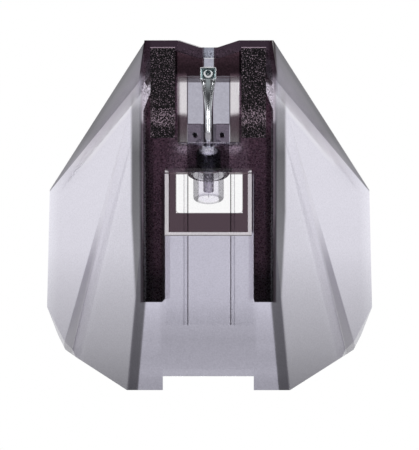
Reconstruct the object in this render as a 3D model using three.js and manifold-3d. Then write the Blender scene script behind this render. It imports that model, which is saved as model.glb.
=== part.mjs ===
// A replacement stylus for a record-playing cartridge, lying on its open rim with the playing tip up.
// Millimetres. +X runs across the wings, +Y towards the nose, +Z towards the record side.
// The origin is the middle of the object at the level of the rim.
// Smoked plastic housing: a faceted winged shell over a two-legged frame. The frame holds a small
// carrier, and the carrier holds the bearing in which the cantilever and its magnet swing.

import * as THREE from 'three';
import { mergeVertices } from 'three/addons/utils/BufferGeometryUtils.js';
import Module from 'manifold-3d';

const wasm = await Module();
wasm.setup();

// Clearances and cutting
const fit = 0.02;
const swingGap = 0.02;
const damperGap = 0.03;
const overrun = 1;
const roundSides = 32;
const fineSides = 24;

// Shell: overall size. Half widths are from the middle plane, setbacks from the rim of the nose,
// forward distances from the rearmost edge.
const shellLength = 18.61;
const shellHeight = 8.6;
const wall = 0.55;

// Shell: corners of the facets
const noseRimHalfWidth = 3.47;
const noseTopHalfWidth = 3.28;
const noseLean = 0.54;
const shoulderHalfWidth = 3.57;
const shoulderSetback = 2.625;
const plateRearHalfWidth = 3.49;
const wingFrontHalfWidth = 8.67;
const wingFrontSetback = 8.125;
const wingRearHalfWidth = 8.82;
const wingRearForward = 4.135;
const cornerHalfWidth = 7.95;
const cornerForward = 1.905;
const rearFootHalfWidth = 4.247;
const rearFootHeight = 6.59;
const rearTopHalfWidth = 4.2;
const rearLean = 0.105;
const creaseHalfWidth = 4.1;
const creaseSetback = 4.195;
const wingRootHalfWidth = 4.22;
const flankFrontHalfWidth = 3.47;
const flankFrontForward = 7.85;
const flankRearHalfWidth = 4.17;
const valleyHalfWidth = 7.76;
const valleyForward = 2.335;
const ridgeHalfWidth = 7.27;
const ridgeForward = 1.785;
const ridgeHeight = 4.05;

// Shell: openings in the plate and the nose
const slotHalfWidth = 1.59;
const noseWallDrop = 0.8;
const windowHalfWidth = 2.04;
const windowLength = 3.09;
const windowBevel = 0.19;
const doorHalfWidth = 2.34;
const doorDepth = 0.7;
const doorBevelLength = 0.36;
const doorBevelDepth = 0.3;
const dipHalfWidth = 1.6;
const dipFloorHalfWidth = 0.45;
const dipDepth = 0.375;

// Cantilever line: the bearing centre, and distances along the line from it
const pivotSetback = 6.575;
const plateGap = 0.05;
const lineTilt = THREE.MathUtils.degToRad(22);
const magnetRadius = 0.27;
const magnetRear = 1.83;
const magnetFront = 0.26;
const damperWall = 0.25;
const damperHalfLength = 0.22;
const sleeveWall = 0.08;
const sleeveFront = 0.4;
const sleeveRear = 0.5;
const sleeveLip = 0.06;
const sleeveLipRear = 0.3;
const collarStart = 0.28;
const collarThickness = 0.15;
const collarInset = 0.04;
const hubWall = 0.085;
const hubLength = 0.25;
const wireRadius = 0.045;
const wireRear = 2.17;
const anchorBore = 0.32;
const anchorRear = 2.23;
const anchorThickness = 0.16;
const plugFront = 0.64;
const plugRear = 2.27;
const plugInnerRadius = 0.545;
const plugWall = 0.245;
const plugFlangeRadius = 1.2;
const plugFlangeThickness = 0.3;

// Cantilever and playing tip
const cantileverRadius = 0.25;
const flareEnd = 4.38;
const padHalfWidth = 0.41;
const padHalfThickness = 0.1;
const padEnd = 4.98;
const tipAlong = 4.66;
const shankRadius = 0.115;
const shankLength = 0.4;
const diamondLength = 0.3;
const diamondPointRadius = 0.012;
const ferruleRadius = 0.225;
const ferruleHeight = 0.14;
const beadRadius = 0.2;
const beadHeight = 0.1;

// Frame, its legs and the channel under the cantilever
const frameHalfWidth = 3.36;
const frameFoot = 0.8;
const legGapHalfWidth = 2.38;
const legLength = 6.695;
const blockBehindPivot = 0.73;
const channelHalfWidth = 1.1;
const channelTopHalfWidth = 1.6;
const channelDepth = 1.9;
const channelFloorThickness = 0.6;
const channelSideThickness = 0.21;
const noseWallSetback = 2.325;
const cueSlotHalfWidth = 0.28;
const ledgeWidth = 0.25;
const reliefHalfWidth = 2.95;
const reliefShellHalfWidth = 3.4;
const reliefSetback = 2.2;
const reliefSlant = 0.35;
const reliefInnerLength = 0.9;
const reliefOuterLength = 1.95;

// Guide plate between the legs
const guideHeight = 1.2;
const guideThickness = 0.15;
const guideLength = 8.08;
const guideBarThickness = 0.8;
const guideBarRear = 3.1;
const paneHalfWidth = 1.8;
const paneLength = 2.07;
const ribOffset = 1.25;
const ribWidth = 0.25;
const ribHeight = 0.3;

// Carrier and its two pins
const carrierAhead = 0.81;
const footLength = 0.98;
const footDrop = 0.42;
const footSlotHalfWidth = 0.38;
const footSlotDepth = 0.55;
const pinRadius = 0.12;
const pinOffset = 0.7;
const pinAhead = 1.22;
const pinBite = 0.35;
const pinProud = 0.04;

// Places that follow from the sizes
const noseY = shellLength / 2;
const rearY = -shellLength / 2;
const reach = 3 * shellLength;
const plateInside = shellHeight - wall;
const damperInner = magnetRadius + swingGap;
const damperOuter = damperInner + damperWall;
const sleeveInner = damperOuter + damperGap;
const sleeveOuter = sleeveInner + sleeveWall;
const pivotDrop = sleeveOuter * Math.cos(lineTilt) + sleeveFront * Math.sin(lineTilt) + plateGap;
const pivotY = noseY - pivotSetback;
const pivotZ = plateInside - pivotDrop;
const blockRearY = pivotY - blockBehindPivot;
const carrierFrontY = pivotY + carrierAhead;
const footFrontY = carrierFrontY + footLength;
const noseWallRearY = noseY - noseWallSetback;
const channelFloorZ = plateInside - channelDepth;
const noseWallTopZ = shellHeight - noseWallDrop;
const legEndY = blockRearY - legLength;

// Solids: from a closed three.js geometry to a body that can be cut or joined, and back again
function solidOf(geometry) {
  const bare = geometry.clone();
  bare.deleteAttribute('normal');
  bare.deleteAttribute('uv');
  const joined = mergeVertices(bare);
  return new wasm.Manifold(new wasm.Mesh({
    numProp: 3,
    vertProperties: new Float32Array(joined.attributes.position.array),
    triVerts: new Uint32Array(joined.index.array),
  }));
}

function geometryOf(solid) {
  const mesh = solid.getMesh();
  const geometry = new THREE.BufferGeometry();
  geometry.setAttribute('position', new THREE.BufferAttribute(new Float32Array(mesh.vertProperties), 3));
  geometry.setIndex(new THREE.BufferAttribute(new Uint32Array(mesh.triVerts), 1));
  const facets = geometry.toNonIndexed();
  facets.computeVertexNormals();
  return facets;
}

function boxSpan(low, high) {
  const size = high.clone().sub(low);
  const middle = high.clone().add(low).multiplyScalar(1 / 2);
  return new THREE.BoxGeometry(size.x, size.y, size.z).translate(middle.x, middle.y, middle.z);
}

function point(x, y, z) {
  return new THREE.Vector3(x, y, z);
}

function blockSolid(low, high) {
  return solidOf(boxSpan(low, high));
}

// A ring or rod about local Y, from a closed outline of radius and distance along the line
function turned(outline, sides) {
  const loop = outline.map(([radius, along]) => new THREE.Vector2(radius, along));
  return new THREE.LatheGeometry([...loop, loop[0].clone()], sides);
}

function rod(radius, from, to, sides) {
  return new THREE.CylinderGeometry(radius, radius, to - from, sides).translate(0, (from + to) / 2, 0);
}

// Upright rod, for pins and their holes
function uprightRod(radius, x, y, low, high) {
  return rod(radius, low, high, fineSides).rotateX(Math.PI / 2).translate(x, y, 0);
}

// The tilted cantilever line, with its zero at the bearing centre
const line = new THREE.Group();
line.position.set(0, pivotY, pivotZ);
line.rotation.x = lineTilt;
line.updateMatrixWorld();

function onLine(geometry) {
  return solidOf(geometry.applyMatrix4(line.matrixWorld));
}

// Facets of the shell. Each is a plane through three corners, facing away from the heart of the shell.
const heart = point(0, 0, shellHeight / 2);

function facet(a, b, c) {
  const plane = new THREE.Plane().setFromCoplanarPoints(a, b, c);
  return plane.distanceToPoint(heart) > 0 ? plane.negate() : plane;
}

function heightOn(plane, x, y) {
  return -(plane.normal.x * x + plane.normal.y * y + plane.constant) / plane.normal.z;
}

// Everything on the far side of a facet that has been moved inwards
function beyond(plane, inset) {
  const block = new THREE.BoxGeometry(reach, reach, reach).translate(0, 0, reach / 2);
  block.applyQuaternion(new THREE.Quaternion().setFromUnitVectors(point(0, 0, 1), plane.normal));
  const foot = plane.coplanarPoint(point(0, 0, 0)).addScaledVector(plane.normal, -inset);
  return solidOf(block.translate(foot.x, foot.y, foot.z));
}

const noseTopY = noseY - noseLean;
const rearTopY = rearY + rearLean;
const noseFacet = facet(
  point(-noseRimHalfWidth, noseY, 0),
  point(noseRimHalfWidth, noseY, 0),
  point(0, noseTopY, shellHeight),
);
const rearFacet = facet(
  point(-rearFootHalfWidth, rearY, rearFootHeight),
  point(rearFootHalfWidth, rearY, rearFootHeight),
  point(0, rearTopY, shellHeight),
);

// The dip between the horns of the nose: a floor and two slanting sides, all leaning with the nose
const dipFacets = [-1, 1].map((side) => facet(
  point(side * dipFloorHalfWidth, noseTopY - dipDepth, shellHeight),
  point(side * dipHalfWidth, noseTopY, shellHeight),
  point(side * dipFloorHalfWidth, noseY - dipDepth, 0),
));
dipFacets.push(facet(
  point(-dipFloorHalfWidth, noseTopY - dipDepth, shellHeight),
  point(dipFloorHalfWidth, noseTopY - dipDepth, shellHeight),
  point(0, noseY - dipDepth, 0),
));

function sideFacets(side) {
  const noseRim = point(side * noseRimHalfWidth, noseY, 0);
  const noseTop = point(side * noseTopHalfWidth, noseTopY, shellHeight);
  const shoulder = point(side * shoulderHalfWidth, noseY - shoulderSetback, shellHeight);
  const plateRear = point(side * plateRearHalfWidth, rearTopY, shellHeight);
  const wingFront = point(side * wingFrontHalfWidth, noseY - wingFrontSetback, 0);
  const wingRear = point(side * wingRearHalfWidth, rearY + wingRearForward, 0);
  const corner = point(side * cornerHalfWidth, rearY + cornerForward, 0);
  const rearFoot = point(side * rearFootHalfWidth, rearY, rearFootHeight);
  const rearTop = point(side * rearTopHalfWidth, rearTopY, shellHeight);
  const outer = facet(wingFront, wingRear, shoulder);
  const crease = point(side * creaseHalfWidth, noseY - creaseSetback, 0);
  crease.z = heightOn(outer, crease.x, crease.y);
  const step = facet(shoulder, plateRear, crease);
  const wingRoot = point(side * wingRootHalfWidth, rearTopY, 0);
  wingRoot.z = heightOn(step, wingRoot.x, wingRoot.y);
  const flankFront = point(side * flankFrontHalfWidth, rearY + flankFrontForward, shellHeight);
  const flankRear = point(side * flankRearHalfWidth, rearTopY, shellHeight);
  const valley = point(side * valleyHalfWidth, rearY + valleyForward, 0);
  valley.z = heightOn(outer, valley.x, valley.y);
  const ridge = point(side * ridgeHalfWidth, rearY + ridgeForward, ridgeHeight);
  const rootRim = point(side * wingRootHalfWidth, rearY, 0);
  return {
    root: facet(rootRim, rootRim.clone().setY(noseY), rootRim.clone().setZ(shellHeight)),
    cheek: facet(noseRim, noseTop, shoulder),
    side: facet(noseRim, wingFront, shoulder),
    corner: facet(wingRear, corner, valley),
    diagonal: facet(corner, rearFoot, rearTop),
    outer,
    step,
    flank: facet(flankFront, flankRear, wingRoot),
    steep: facet(crease, valley, ridge),
    inner: facet(crease, ridge, wingRoot),
  };
}

const facetsBySide = [sideFacets(-1), sideFacets(1)];

// The solid under the wings and the plate, inside all facets moved inwards
function underWings(inset, bottom) {
  let solid = blockSolid(
    point(-wingRearHalfWidth - wingFrontHalfWidth, rearY - overrun, bottom),
    point(wingRearHalfWidth + wingFrontHalfWidth, noseY + overrun, shellHeight - inset),
  );
  for (const planes of facetsBySide) {
    const pastPlate = beyond(planes.step, inset).intersect(beyond(planes.flank, inset));
    const besideStep = pastPlate.add(beyond(planes.root, inset));
    const overWing = beyond(planes.outer, inset).intersect(beyond(planes.steep, inset));
    solid = solid.subtract(beyond(planes.side, inset));
    solid = solid.subtract(besideStep.intersect(beyond(planes.inner, inset)));
    solid = solid.subtract(besideStep.intersect(overWing));
  }
  return solid;
}

// The nose: the plate and its two cheeks go on forwards from the shoulders
function noseBlock(inset, bottom) {
  let solid = blockSolid(
    point(-wingFrontHalfWidth, noseY - shoulderSetback - inset, bottom),
    point(wingFrontHalfWidth, noseY + overrun, shellHeight - inset),
  );
  for (const planes of facetsBySide) {
    solid = solid.subtract(beyond(planes.cheek, inset));
  }
  return solid;
}

// The winged body at inset 0, and at one wall the hollow, which runs out through the rear
function wingedSolid(inset, bottom) {
  const [leftDip, rightDip, dipFloor] = dipFacets.map((plane) => beyond(plane, inset));
  const body = underWings(inset, bottom).add(noseBlock(inset, bottom));
  return body.subtract(beyond(noseFacet, inset)).subtract(leftDip.intersect(rightDip).intersect(dipFloor));
}

// A rectangular through cut in the plate whose mouth opens out at the outer face
function flaredCut(halfWidth, lowY, highY, bevel) {
  const top = shellHeight + overrun;
  const flare = bevel + overrun;
  const outline = new THREE.Shape([
    new THREE.Vector2(-halfWidth, plateInside - overrun),
    new THREE.Vector2(halfWidth, plateInside - overrun),
    new THREE.Vector2(halfWidth, shellHeight - bevel),
    new THREE.Vector2(halfWidth + flare, top),
    new THREE.Vector2(-halfWidth - flare, top),
    new THREE.Vector2(-halfWidth, shellHeight - bevel),
  ]);
  const across = new THREE.ExtrudeGeometry(outline, {
    depth: highY - lowY + 2 * flare,
    bevelEnabled: false,
  });
  const sideCut = solidOf(across.rotateX(Math.PI / 2).translate(0, highY + flare, 0));
  const profile = new THREE.Shape([
    new THREE.Vector2(lowY, plateInside - overrun),
    new THREE.Vector2(highY, plateInside - overrun),
    new THREE.Vector2(highY, shellHeight - bevel),
    new THREE.Vector2(highY + flare, top),
    new THREE.Vector2(lowY - flare, top),
    new THREE.Vector2(lowY, shellHeight - bevel),
  ]);
  const along = new THREE.ExtrudeGeometry(profile, {
    depth: 2 * (halfWidth + flare),
    bevelEnabled: false,
  });
  along.rotateX(Math.PI / 2).rotateZ(Math.PI / 2).translate(-halfWidth - flare, 0, 0);
  return sideCut.intersect(solidOf(along));
}

// The slot through the nose that shows the cantilever from in front, and the groove below it
function cueCuts() {
  const low = point(-cueSlotHalfWidth, noseWallRearY - overrun, channelFloorZ);
  const high = point(cueSlotHalfWidth, noseY + overrun, shellHeight + overrun);
  const grooveLow = point(-cueSlotHalfWidth, noseWallRearY - overrun, -overrun);
  const grooveHigh = point(cueSlotHalfWidth, noseY + overrun, channelFloorZ - channelFloorThickness);
  return blockSolid(low, high).add(blockSolid(grooveLow, grooveHigh));
}

// A recess behind one shoulder, from the middle out to the given half width, up to the given height
function shoulderRelief(side, halfWidth, top) {
  const reliefY = noseY - reliefSetback;
  const relief = new THREE.Shape([
    new THREE.Vector2(side * reliefHalfWidth, reliefY),
    new THREE.Vector2(side * reliefHalfWidth, reliefY - reliefInnerLength),
    new THREE.Vector2(side * frameHalfWidth, reliefY - reliefOuterLength),
    new THREE.Vector2(side * halfWidth, reliefY - reliefOuterLength),
    new THREE.Vector2(side * halfWidth, reliefY - reliefSlant),
    new THREE.Vector2(side * frameHalfWidth, reliefY - reliefSlant),
  ]);
  const reliefCut = new THREE.ExtrudeGeometry(relief, {
    depth: top + overrun,
    bevelEnabled: false,
  });
  return solidOf(reliefCut.translate(0, 0, -overrun));
}

// Outer shell: the winged skin, open at the rear, with its cantilever slot, window, notch and dipped nose
function outerShell() {
  let shell = wingedSolid(0, 0).subtract(wingedSolid(wall, -overrun)).subtract(beyond(rearFacet, 0));
  for (const planes of facetsBySide) {
    shell = shell.subtract(beyond(planes.corner, 0)).subtract(beyond(planes.diagonal, 0));
  }
  for (const side of [-1, 1]) {
    shell = shell.subtract(shoulderRelief(side, reliefShellHalfWidth, plateInside));
  }
  shell = shell.subtract(blockSolid(
    point(-slotHalfWidth, carrierFrontY, noseWallTopZ),
    point(slotHalfWidth, noseY + overrun, shellHeight + overrun),
  ));
  shell = shell.subtract(flaredCut(windowHalfWidth, blockRearY - windowLength, blockRearY, windowBevel));
  const doorFrontY = rearTopY + doorDepth;
  const door = new THREE.Shape([
    new THREE.Vector2(rearY - overrun, plateInside - overrun),
    new THREE.Vector2(doorFrontY, plateInside - overrun),
    new THREE.Vector2(doorFrontY, shellHeight - doorBevelDepth),
    new THREE.Vector2(doorFrontY + doorBevelLength, shellHeight),
    new THREE.Vector2(doorFrontY + doorBevelLength, shellHeight + overrun),
    new THREE.Vector2(rearY - overrun, shellHeight + overrun),
  ]);
  const doorCut = new THREE.ExtrudeGeometry(door, {
    depth: 2 * doorHalfWidth,
    bevelEnabled: false,
  });
  doorCut.rotateX(Math.PI / 2).rotateZ(Math.PI / 2).translate(-doorHalfWidth, 0, 0);
  return shell.subtract(solidOf(doorCut)).subtract(cueCuts());
}

// Frame: a nose block with a channel for the cantilever, and two legs that reach back
function innerFrame() {
  const rough = blockSolid(
    point(-frameHalfWidth, legEndY, frameFoot),
    point(frameHalfWidth, noseY, shellHeight),
  );
  let frame = rough.intersect(wingedSolid(wall + fit, 0));
  frame = frame.subtract(blockSolid(
    point(-legGapHalfWidth, legEndY - overrun, -overrun),
    point(legGapHalfWidth, blockRearY, shellHeight),
  ));
  for (const side of [-1, 1]) {
    const ledgeEdges = [side * (legGapHalfWidth - ledgeWidth), side * (legGapHalfWidth + ledgeWidth)];
    frame = frame.add(blockSolid(
      point(Math.min(...ledgeEdges), legEndY, frameFoot),
      point(Math.max(...ledgeEdges), blockRearY + ledgeWidth, guideHeight - fit),
    ));
  }
  frame = frame.subtract(blockSolid(
    point(-channelHalfWidth, blockRearY - overrun, channelFloorZ),
    point(channelHalfWidth, noseWallRearY, shellHeight),
  ));
  const channel = new THREE.Shape([
    new THREE.Vector2(-channelHalfWidth, channelFloorZ),
    new THREE.Vector2(channelHalfWidth, channelFloorZ),
    new THREE.Vector2(channelTopHalfWidth, plateInside),
    new THREE.Vector2(channelTopHalfWidth, shellHeight),
    new THREE.Vector2(-channelTopHalfWidth, shellHeight),
    new THREE.Vector2(-channelTopHalfWidth, plateInside),
  ]);
  const channelCut = new THREE.ExtrudeGeometry(channel, {
    depth: noseWallRearY - carrierFrontY,
    bevelEnabled: false,
  });
  frame = frame.subtract(solidOf(channelCut.rotateX(Math.PI / 2).translate(0, noseWallRearY, 0)));
  frame = frame.subtract(blockSolid(
    point(-slotHalfWidth, noseWallRearY - overrun, noseWallTopZ),
    point(slotHalfWidth, noseY, shellHeight),
  ));
  const sideSlope = (channelTopHalfWidth - channelHalfWidth) / (plateInside - channelFloorZ);
  const pocketTopZ = channelFloorZ - channelFloorThickness;
  const pocketTopHalfWidth = channelHalfWidth + channelSideThickness - channelFloorThickness * sideSlope;
  const pocketSideZ = plateInside - channelSideThickness / sideSlope;
  const pocket = new THREE.Shape([
    new THREE.Vector2(-channelTopHalfWidth, -overrun),
    new THREE.Vector2(channelTopHalfWidth, -overrun),
    new THREE.Vector2(channelTopHalfWidth, pocketSideZ),
    new THREE.Vector2(pocketTopHalfWidth, pocketTopZ),
    new THREE.Vector2(-pocketTopHalfWidth, pocketTopZ),
    new THREE.Vector2(-channelTopHalfWidth, pocketSideZ),
  ]);
  const pocketCut = new THREE.ExtrudeGeometry(pocket, {
    depth: noseWallRearY - carrierFrontY,
    bevelEnabled: false,
  });
  frame = frame.subtract(solidOf(pocketCut.rotateX(Math.PI / 2).translate(0, noseWallRearY, 0)));
  frame = frame.subtract(cueCuts());
  const flangeSeat = rod(plugFlangeRadius + fit, -plugRear - overrun, fit - plugFront, roundSides);
  frame = frame.subtract(onLine(flangeSeat));
  for (const side of [-1, 1]) {
    frame = frame.subtract(shoulderRelief(side, wingFrontHalfWidth, shellHeight + overrun));
    frame = frame.subtract(solidOf(uprightRod(
      pinRadius + fit,
      side * pinOffset,
      pivotY + pinAhead,
      channelFloorZ - pinBite - fit,
      shellHeight,
    )));
  }
  return frame;
}

// Guide plate: a thin see-through floor between the legs, with a thick border and two rails
function guidePlate() {
  const halfWidth = legGapHalfWidth - fit;
  const frontY = blockRearY - fit;
  const backY = frontY - guideLength;
  const top = guideHeight + guideThickness;
  const barTop = guideHeight + guideBarThickness;
  let plate = blockSolid(point(-halfWidth, backY, guideHeight), point(halfWidth, frontY, top));
  const border = blockSolid(
    point(-halfWidth, frontY - guideBarRear, guideHeight),
    point(halfWidth, frontY, barTop),
  );
  const pane = blockSolid(
    point(-paneHalfWidth, frontY - paneLength, guideHeight - overrun),
    point(paneHalfWidth, frontY + overrun, barTop + overrun),
  );
  plate = plate.add(border.subtract(pane));
  for (const side of [-1, 1]) {
    plate = plate.add(blockSolid(
      point(side * ribOffset - ribWidth / 2, backY, guideHeight),
      point(side * ribOffset + ribWidth / 2, frontY, top + ribHeight),
    ));
  }
  return plate;
}

// Carrier: the small block in the channel, bored for the bearing, with a slotted foot in front
function carrierBlock() {
  const halfWidth = channelHalfWidth - fit;
  const low = channelFloorZ + fit;
  const footTop = plateInside - footDrop;
  let block = blockSolid(
    point(-halfWidth, blockRearY + fit, low),
    point(halfWidth, carrierFrontY, plateInside - fit),
  );
  block = block.add(blockSolid(
    point(-halfWidth, carrierFrontY - overrun / 2, low),
    point(halfWidth, footFrontY, footTop),
  ));
  block = block.subtract(blockSolid(
    point(-footSlotHalfWidth, carrierFrontY, footTop - footSlotDepth),
    point(footSlotHalfWidth, footFrontY + overrun, footTop + overrun),
  ));
  const boreEnd = carrierAhead / Math.cos(lineTilt);
  block = block.subtract(onLine(rod(sleeveOuter + fit, -plugRear, boreEnd, roundSides)));
  block = block.subtract(onLine(
    rod(plugFlangeRadius + channelHalfWidth, -plugRear - overrun, fit - plugFront, roundSides),
  ));
  for (const side of [-1, 1]) {
    block = block.subtract(solidOf(uprightRod(
      pinRadius + fit,
      side * pinOffset,
      pivotY + pinAhead,
      low - overrun,
      plateInside + overrun,
    )));
  }
  return block;
}

// Cantilever: a drawn tube that is pressed flat towards the tip. Shares run from the collar to the pad.
function cantilever() {
  const flareShares = [[0, 0], [0.5, 0], [0.72, 0.06], [0.84, 0.2], [0.92, 0.48], [0.97, 0.85], [1, 1]];
  const padRoundnessShare = 1 / 3;
  const start = collarStart + collarThickness;
  const stations = flareShares.map(([place, flatness]) => ({
    along: start + place * (flareEnd - start),
    halfWidth: THREE.MathUtils.lerp(cantileverRadius, padHalfWidth, flatness),
    halfThickness: THREE.MathUtils.lerp(cantileverRadius, padHalfThickness, flatness),
    roundness: THREE.MathUtils.lerp(1, padRoundnessShare, flatness),
  }));
  stations.push({ ...stations.at(-1), along: padEnd });
  const positions = [];
  for (const { along, halfWidth, halfThickness, roundness } of stations) {
    for (let i = 0; i < fineSides; i += 1) {
      const turn = (2 * Math.PI * i) / fineSides;
      const across = Math.sign(Math.cos(turn)) * Math.abs(Math.cos(turn)) ** roundness;
      const upward = Math.sign(Math.sin(turn)) * Math.abs(Math.sin(turn)) ** roundness;
      positions.push(halfWidth * across, along, halfThickness * upward);
    }
  }
  const faces = [];
  for (let ring = 0; ring + 1 < stations.length; ring += 1) {
    for (let i = 0; i < fineSides; i += 1) {
      const a = ring * fineSides + i;
      const b = ring * fineSides + ((i + 1) % fineSides);
      faces.push(a, a + fineSides, b, b, a + fineSides, b + fineSides);
    }
  }
  const lastRing = (stations.length - 1) * fineSides;
  for (let i = 1; i + 1 < fineSides; i += 1) {
    faces.push(0, i, i + 1);
    faces.push(lastRing, lastRing + i + 1, lastRing + i);
  }
  const geometry = new THREE.BufferGeometry();
  geometry.setAttribute('position', new THREE.Float32BufferAttribute(positions, 3));
  geometry.setIndex(faces);
  const hole = solidOf(tipTurned(rod(shankRadius + fit, -overrun, overrun, fineSides)));
  return solidOf(geometry).subtract(hole);
}

// The tip stands upright on the record, so it leans back against the tilted line
function tipTurned(geometry) {
  return geometry.rotateX(Math.PI / 2 - lineTilt).translate(0, tipAlong, 0);
}

function diamondTip() {
  const heel = -padHalfThickness - beadHeight / 2;
  const shoulder = heel + shankLength;
  return tipTurned(new THREE.LatheGeometry([
    new THREE.Vector2(0, heel),
    new THREE.Vector2(shankRadius, heel),
    new THREE.Vector2(shankRadius, shoulder),
    new THREE.Vector2(diamondPointRadius, shoulder + diamondLength),
    new THREE.Vector2(0, shoulder + diamondLength + diamondPointRadius),
  ], fineSides));
}

// Ferrule: a collar round the shank, cut off flush with the upper face of the pad
function tipFerrule() {
  const bore = shankRadius + fit;
  const ring = turned([
    [bore, 0],
    [ferruleRadius, 0],
    [ferruleRadius, padHalfThickness + ferruleHeight],
    [bore, padHalfThickness + ferruleHeight],
  ], fineSides);
  const underPad = blockSolid(
    point(-overrun, tipAlong - overrun, -overrun),
    point(overrun, tipAlong + overrun, padHalfThickness + fit),
  );
  return solidOf(tipTurned(ring)).subtract(underPad);
}

// Bead: the dome of cement round the heel of the shank, behind the pad
function tipBead() {
  const bore = shankRadius + fit;
  const low = -padHalfThickness - beadHeight;
  const dome = turned([
    [bore, low],
    [(bore + beadRadius) / 2, low],
    [beadRadius, -padHalfThickness],
    [beadRadius, 0],
    [bore, 0],
  ], fineSides);
  const abovePad = blockSolid(
    point(-overrun, tipAlong - overrun, -padHalfThickness - fit),
    point(overrun, tipAlong + overrun, overrun),
  );
  return solidOf(tipTurned(dome)).subtract(abovePad);
}

// Turned pieces on the line
function plugTube() {
  return turned([
    [plugInnerRadius, -plugRear],
    [plugInnerRadius + plugWall, -plugRear],
    [plugInnerRadius + plugWall, -plugFront - plugFlangeThickness],
    [plugFlangeRadius, -plugFront - plugFlangeThickness],
    [plugFlangeRadius, -plugFront],
    [plugInnerRadius, -plugFront],
  ], roundSides);
}

function bearingSleeve() {
  return turned([
    [sleeveInner - sleeveLip, -sleeveRear],
    [sleeveOuter, -sleeveRear],
    [sleeveOuter, sleeveFront],
    [sleeveInner, sleeveFront],
    [sleeveInner, -sleeveLipRear],
    [sleeveInner - sleeveLip, -sleeveLipRear],
  ], roundSides);
}

function damperRing() {
  return turned([
    [damperInner, -damperHalfLength],
    [damperOuter, -damperHalfLength],
    [damperOuter, damperHalfLength],
    [damperInner, damperHalfLength],
  ], roundSides);
}

function armatureCollar() {
  const flangeRadius = damperOuter - collarInset;
  const face = collarStart + collarThickness;
  const bore = cantileverRadius + fit / 2;
  const rear = collarStart;
  return new THREE.LatheGeometry([
    new THREE.Vector2(0, rear),
    new THREE.Vector2(flangeRadius, rear),
    new THREE.Vector2(flangeRadius, face),
    new THREE.Vector2(bore + hubWall, face),
    new THREE.Vector2(bore + hubWall, face + hubLength),
    new THREE.Vector2(bore, face + hubLength),
    new THREE.Vector2(bore, face - fit),
    new THREE.Vector2(0, face - fit),
  ], roundSides);
}

function magnet() {
  const bore = wireRadius + fit;
  return turned([
    [bore, -magnetRear],
    [magnetRadius, -magnetRear],
    [magnetRadius, magnetFront],
    [bore, magnetFront],
  ], fineSides);
}

function wireAnchor() {
  return turned([
    [anchorBore, -anchorRear],
    [plugInnerRadius - fit, -anchorRear],
    [plugInnerRadius - fit, anchorThickness - anchorRear],
    [anchorBore, anchorThickness - anchorRear],
  ], roundSides);
}

// Finishes
function finish(color, roughness, metalness, opacity = 1) {
  return new THREE.MeshStandardMaterial({
    color,
    roughness,
    metalness,
    opacity,
    transparent: opacity < 1,
    flatShading: true,
  });
}

const smokedSkin = () => finish(0xb9b3c0, 0.5, 0, 0.7);
const smokedBlock = () => finish(0x2a2228, 0.4, 0, 0.9);
const clearPlastic = () => finish(0xd8d6dc, 0.1, 0, 0.5);
const steel = () => finish(0xa4a8ad, 0.3, 1);
const silverTube = () => finish(0xc3c9cf, 0.25, 1);

// Assembly
const stylus = new THREE.Group();
stylus.add(line);

function addPiece(parent, name, geometry, material) {
  const mesh = new THREE.Mesh(geometry, material);
  mesh.name = name;
  parent.add(mesh);
}

addPiece(stylus, 'outer_shell', geometryOf(outerShell()), smokedSkin());
addPiece(stylus, 'inner_frame', geometryOf(innerFrame()), smokedBlock());
addPiece(stylus, 'guide_plate', geometryOf(guidePlate()), clearPlastic());
addPiece(stylus, 'carrier_block', geometryOf(carrierBlock()), smokedBlock());
for (const [name, side] of [['carrier_pin_left', -1], ['carrier_pin_right', 1]]) {
  const low = channelFloorZ - pinBite;
  const high = plateInside - footDrop + pinProud;
  addPiece(stylus, name, uprightRod(pinRadius, side * pinOffset, pivotY + pinAhead, low, high), steel());
}
addPiece(line, 'plug_tube', plugTube(), clearPlastic());
addPiece(line, 'bearing_sleeve', bearingSleeve(), steel());
addPiece(line, 'wire_anchor', wireAnchor(), clearPlastic());
addPiece(line, 'damper_ring', damperRing(), finish(0x17151a, 0.9, 0));
addPiece(line, 'tie_wire', rod(wireRadius, -wireRear, magnetFront - fit, fineSides), steel());
addPiece(line, 'magnet', magnet(), finish(0x3d3d42, 0.45, 0.8));
addPiece(line, 'armature_collar', armatureCollar(), steel());
addPiece(line, 'cantilever_tube', geometryOf(cantilever()), silverTube());
addPiece(line, 'tip_ferrule', geometryOf(tipFerrule()), silverTube());
addPiece(line, 'tip_cement', geometryOf(tipBead()), finish(0x8a7a5c, 0.2, 0, 0.8));
addPiece(line, 'diamond_tip', diamondTip(), finish(0x3b3f45, 0.05, 0, 0.8));

export default stylus;
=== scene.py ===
import math

import bmesh
import bpy
from mathutils import Matrix, Vector


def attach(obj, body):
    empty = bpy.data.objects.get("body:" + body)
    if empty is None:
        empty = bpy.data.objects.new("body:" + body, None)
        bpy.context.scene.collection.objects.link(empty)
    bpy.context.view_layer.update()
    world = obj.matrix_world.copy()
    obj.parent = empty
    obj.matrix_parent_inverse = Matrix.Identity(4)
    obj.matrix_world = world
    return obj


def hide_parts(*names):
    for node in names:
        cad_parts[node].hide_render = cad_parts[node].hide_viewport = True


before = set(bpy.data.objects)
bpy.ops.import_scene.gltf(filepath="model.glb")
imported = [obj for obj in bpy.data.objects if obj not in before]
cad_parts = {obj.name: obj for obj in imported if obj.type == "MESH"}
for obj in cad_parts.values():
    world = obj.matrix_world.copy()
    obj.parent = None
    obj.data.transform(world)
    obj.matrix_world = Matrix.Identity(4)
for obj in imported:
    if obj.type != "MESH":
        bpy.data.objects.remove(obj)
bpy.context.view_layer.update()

# The table, light and camera.
# The stylus lies on its rim on a white lit table and is looked at from straight above, so the
# smoked plastic shows the light that comes up through it.
MM = 0.001
TABLE_HALF = 400 * MM
TABLE_DROP = 0.02 * MM
TABLE_COLOR = (0.85, 0.85, 0.86, 1)
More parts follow.
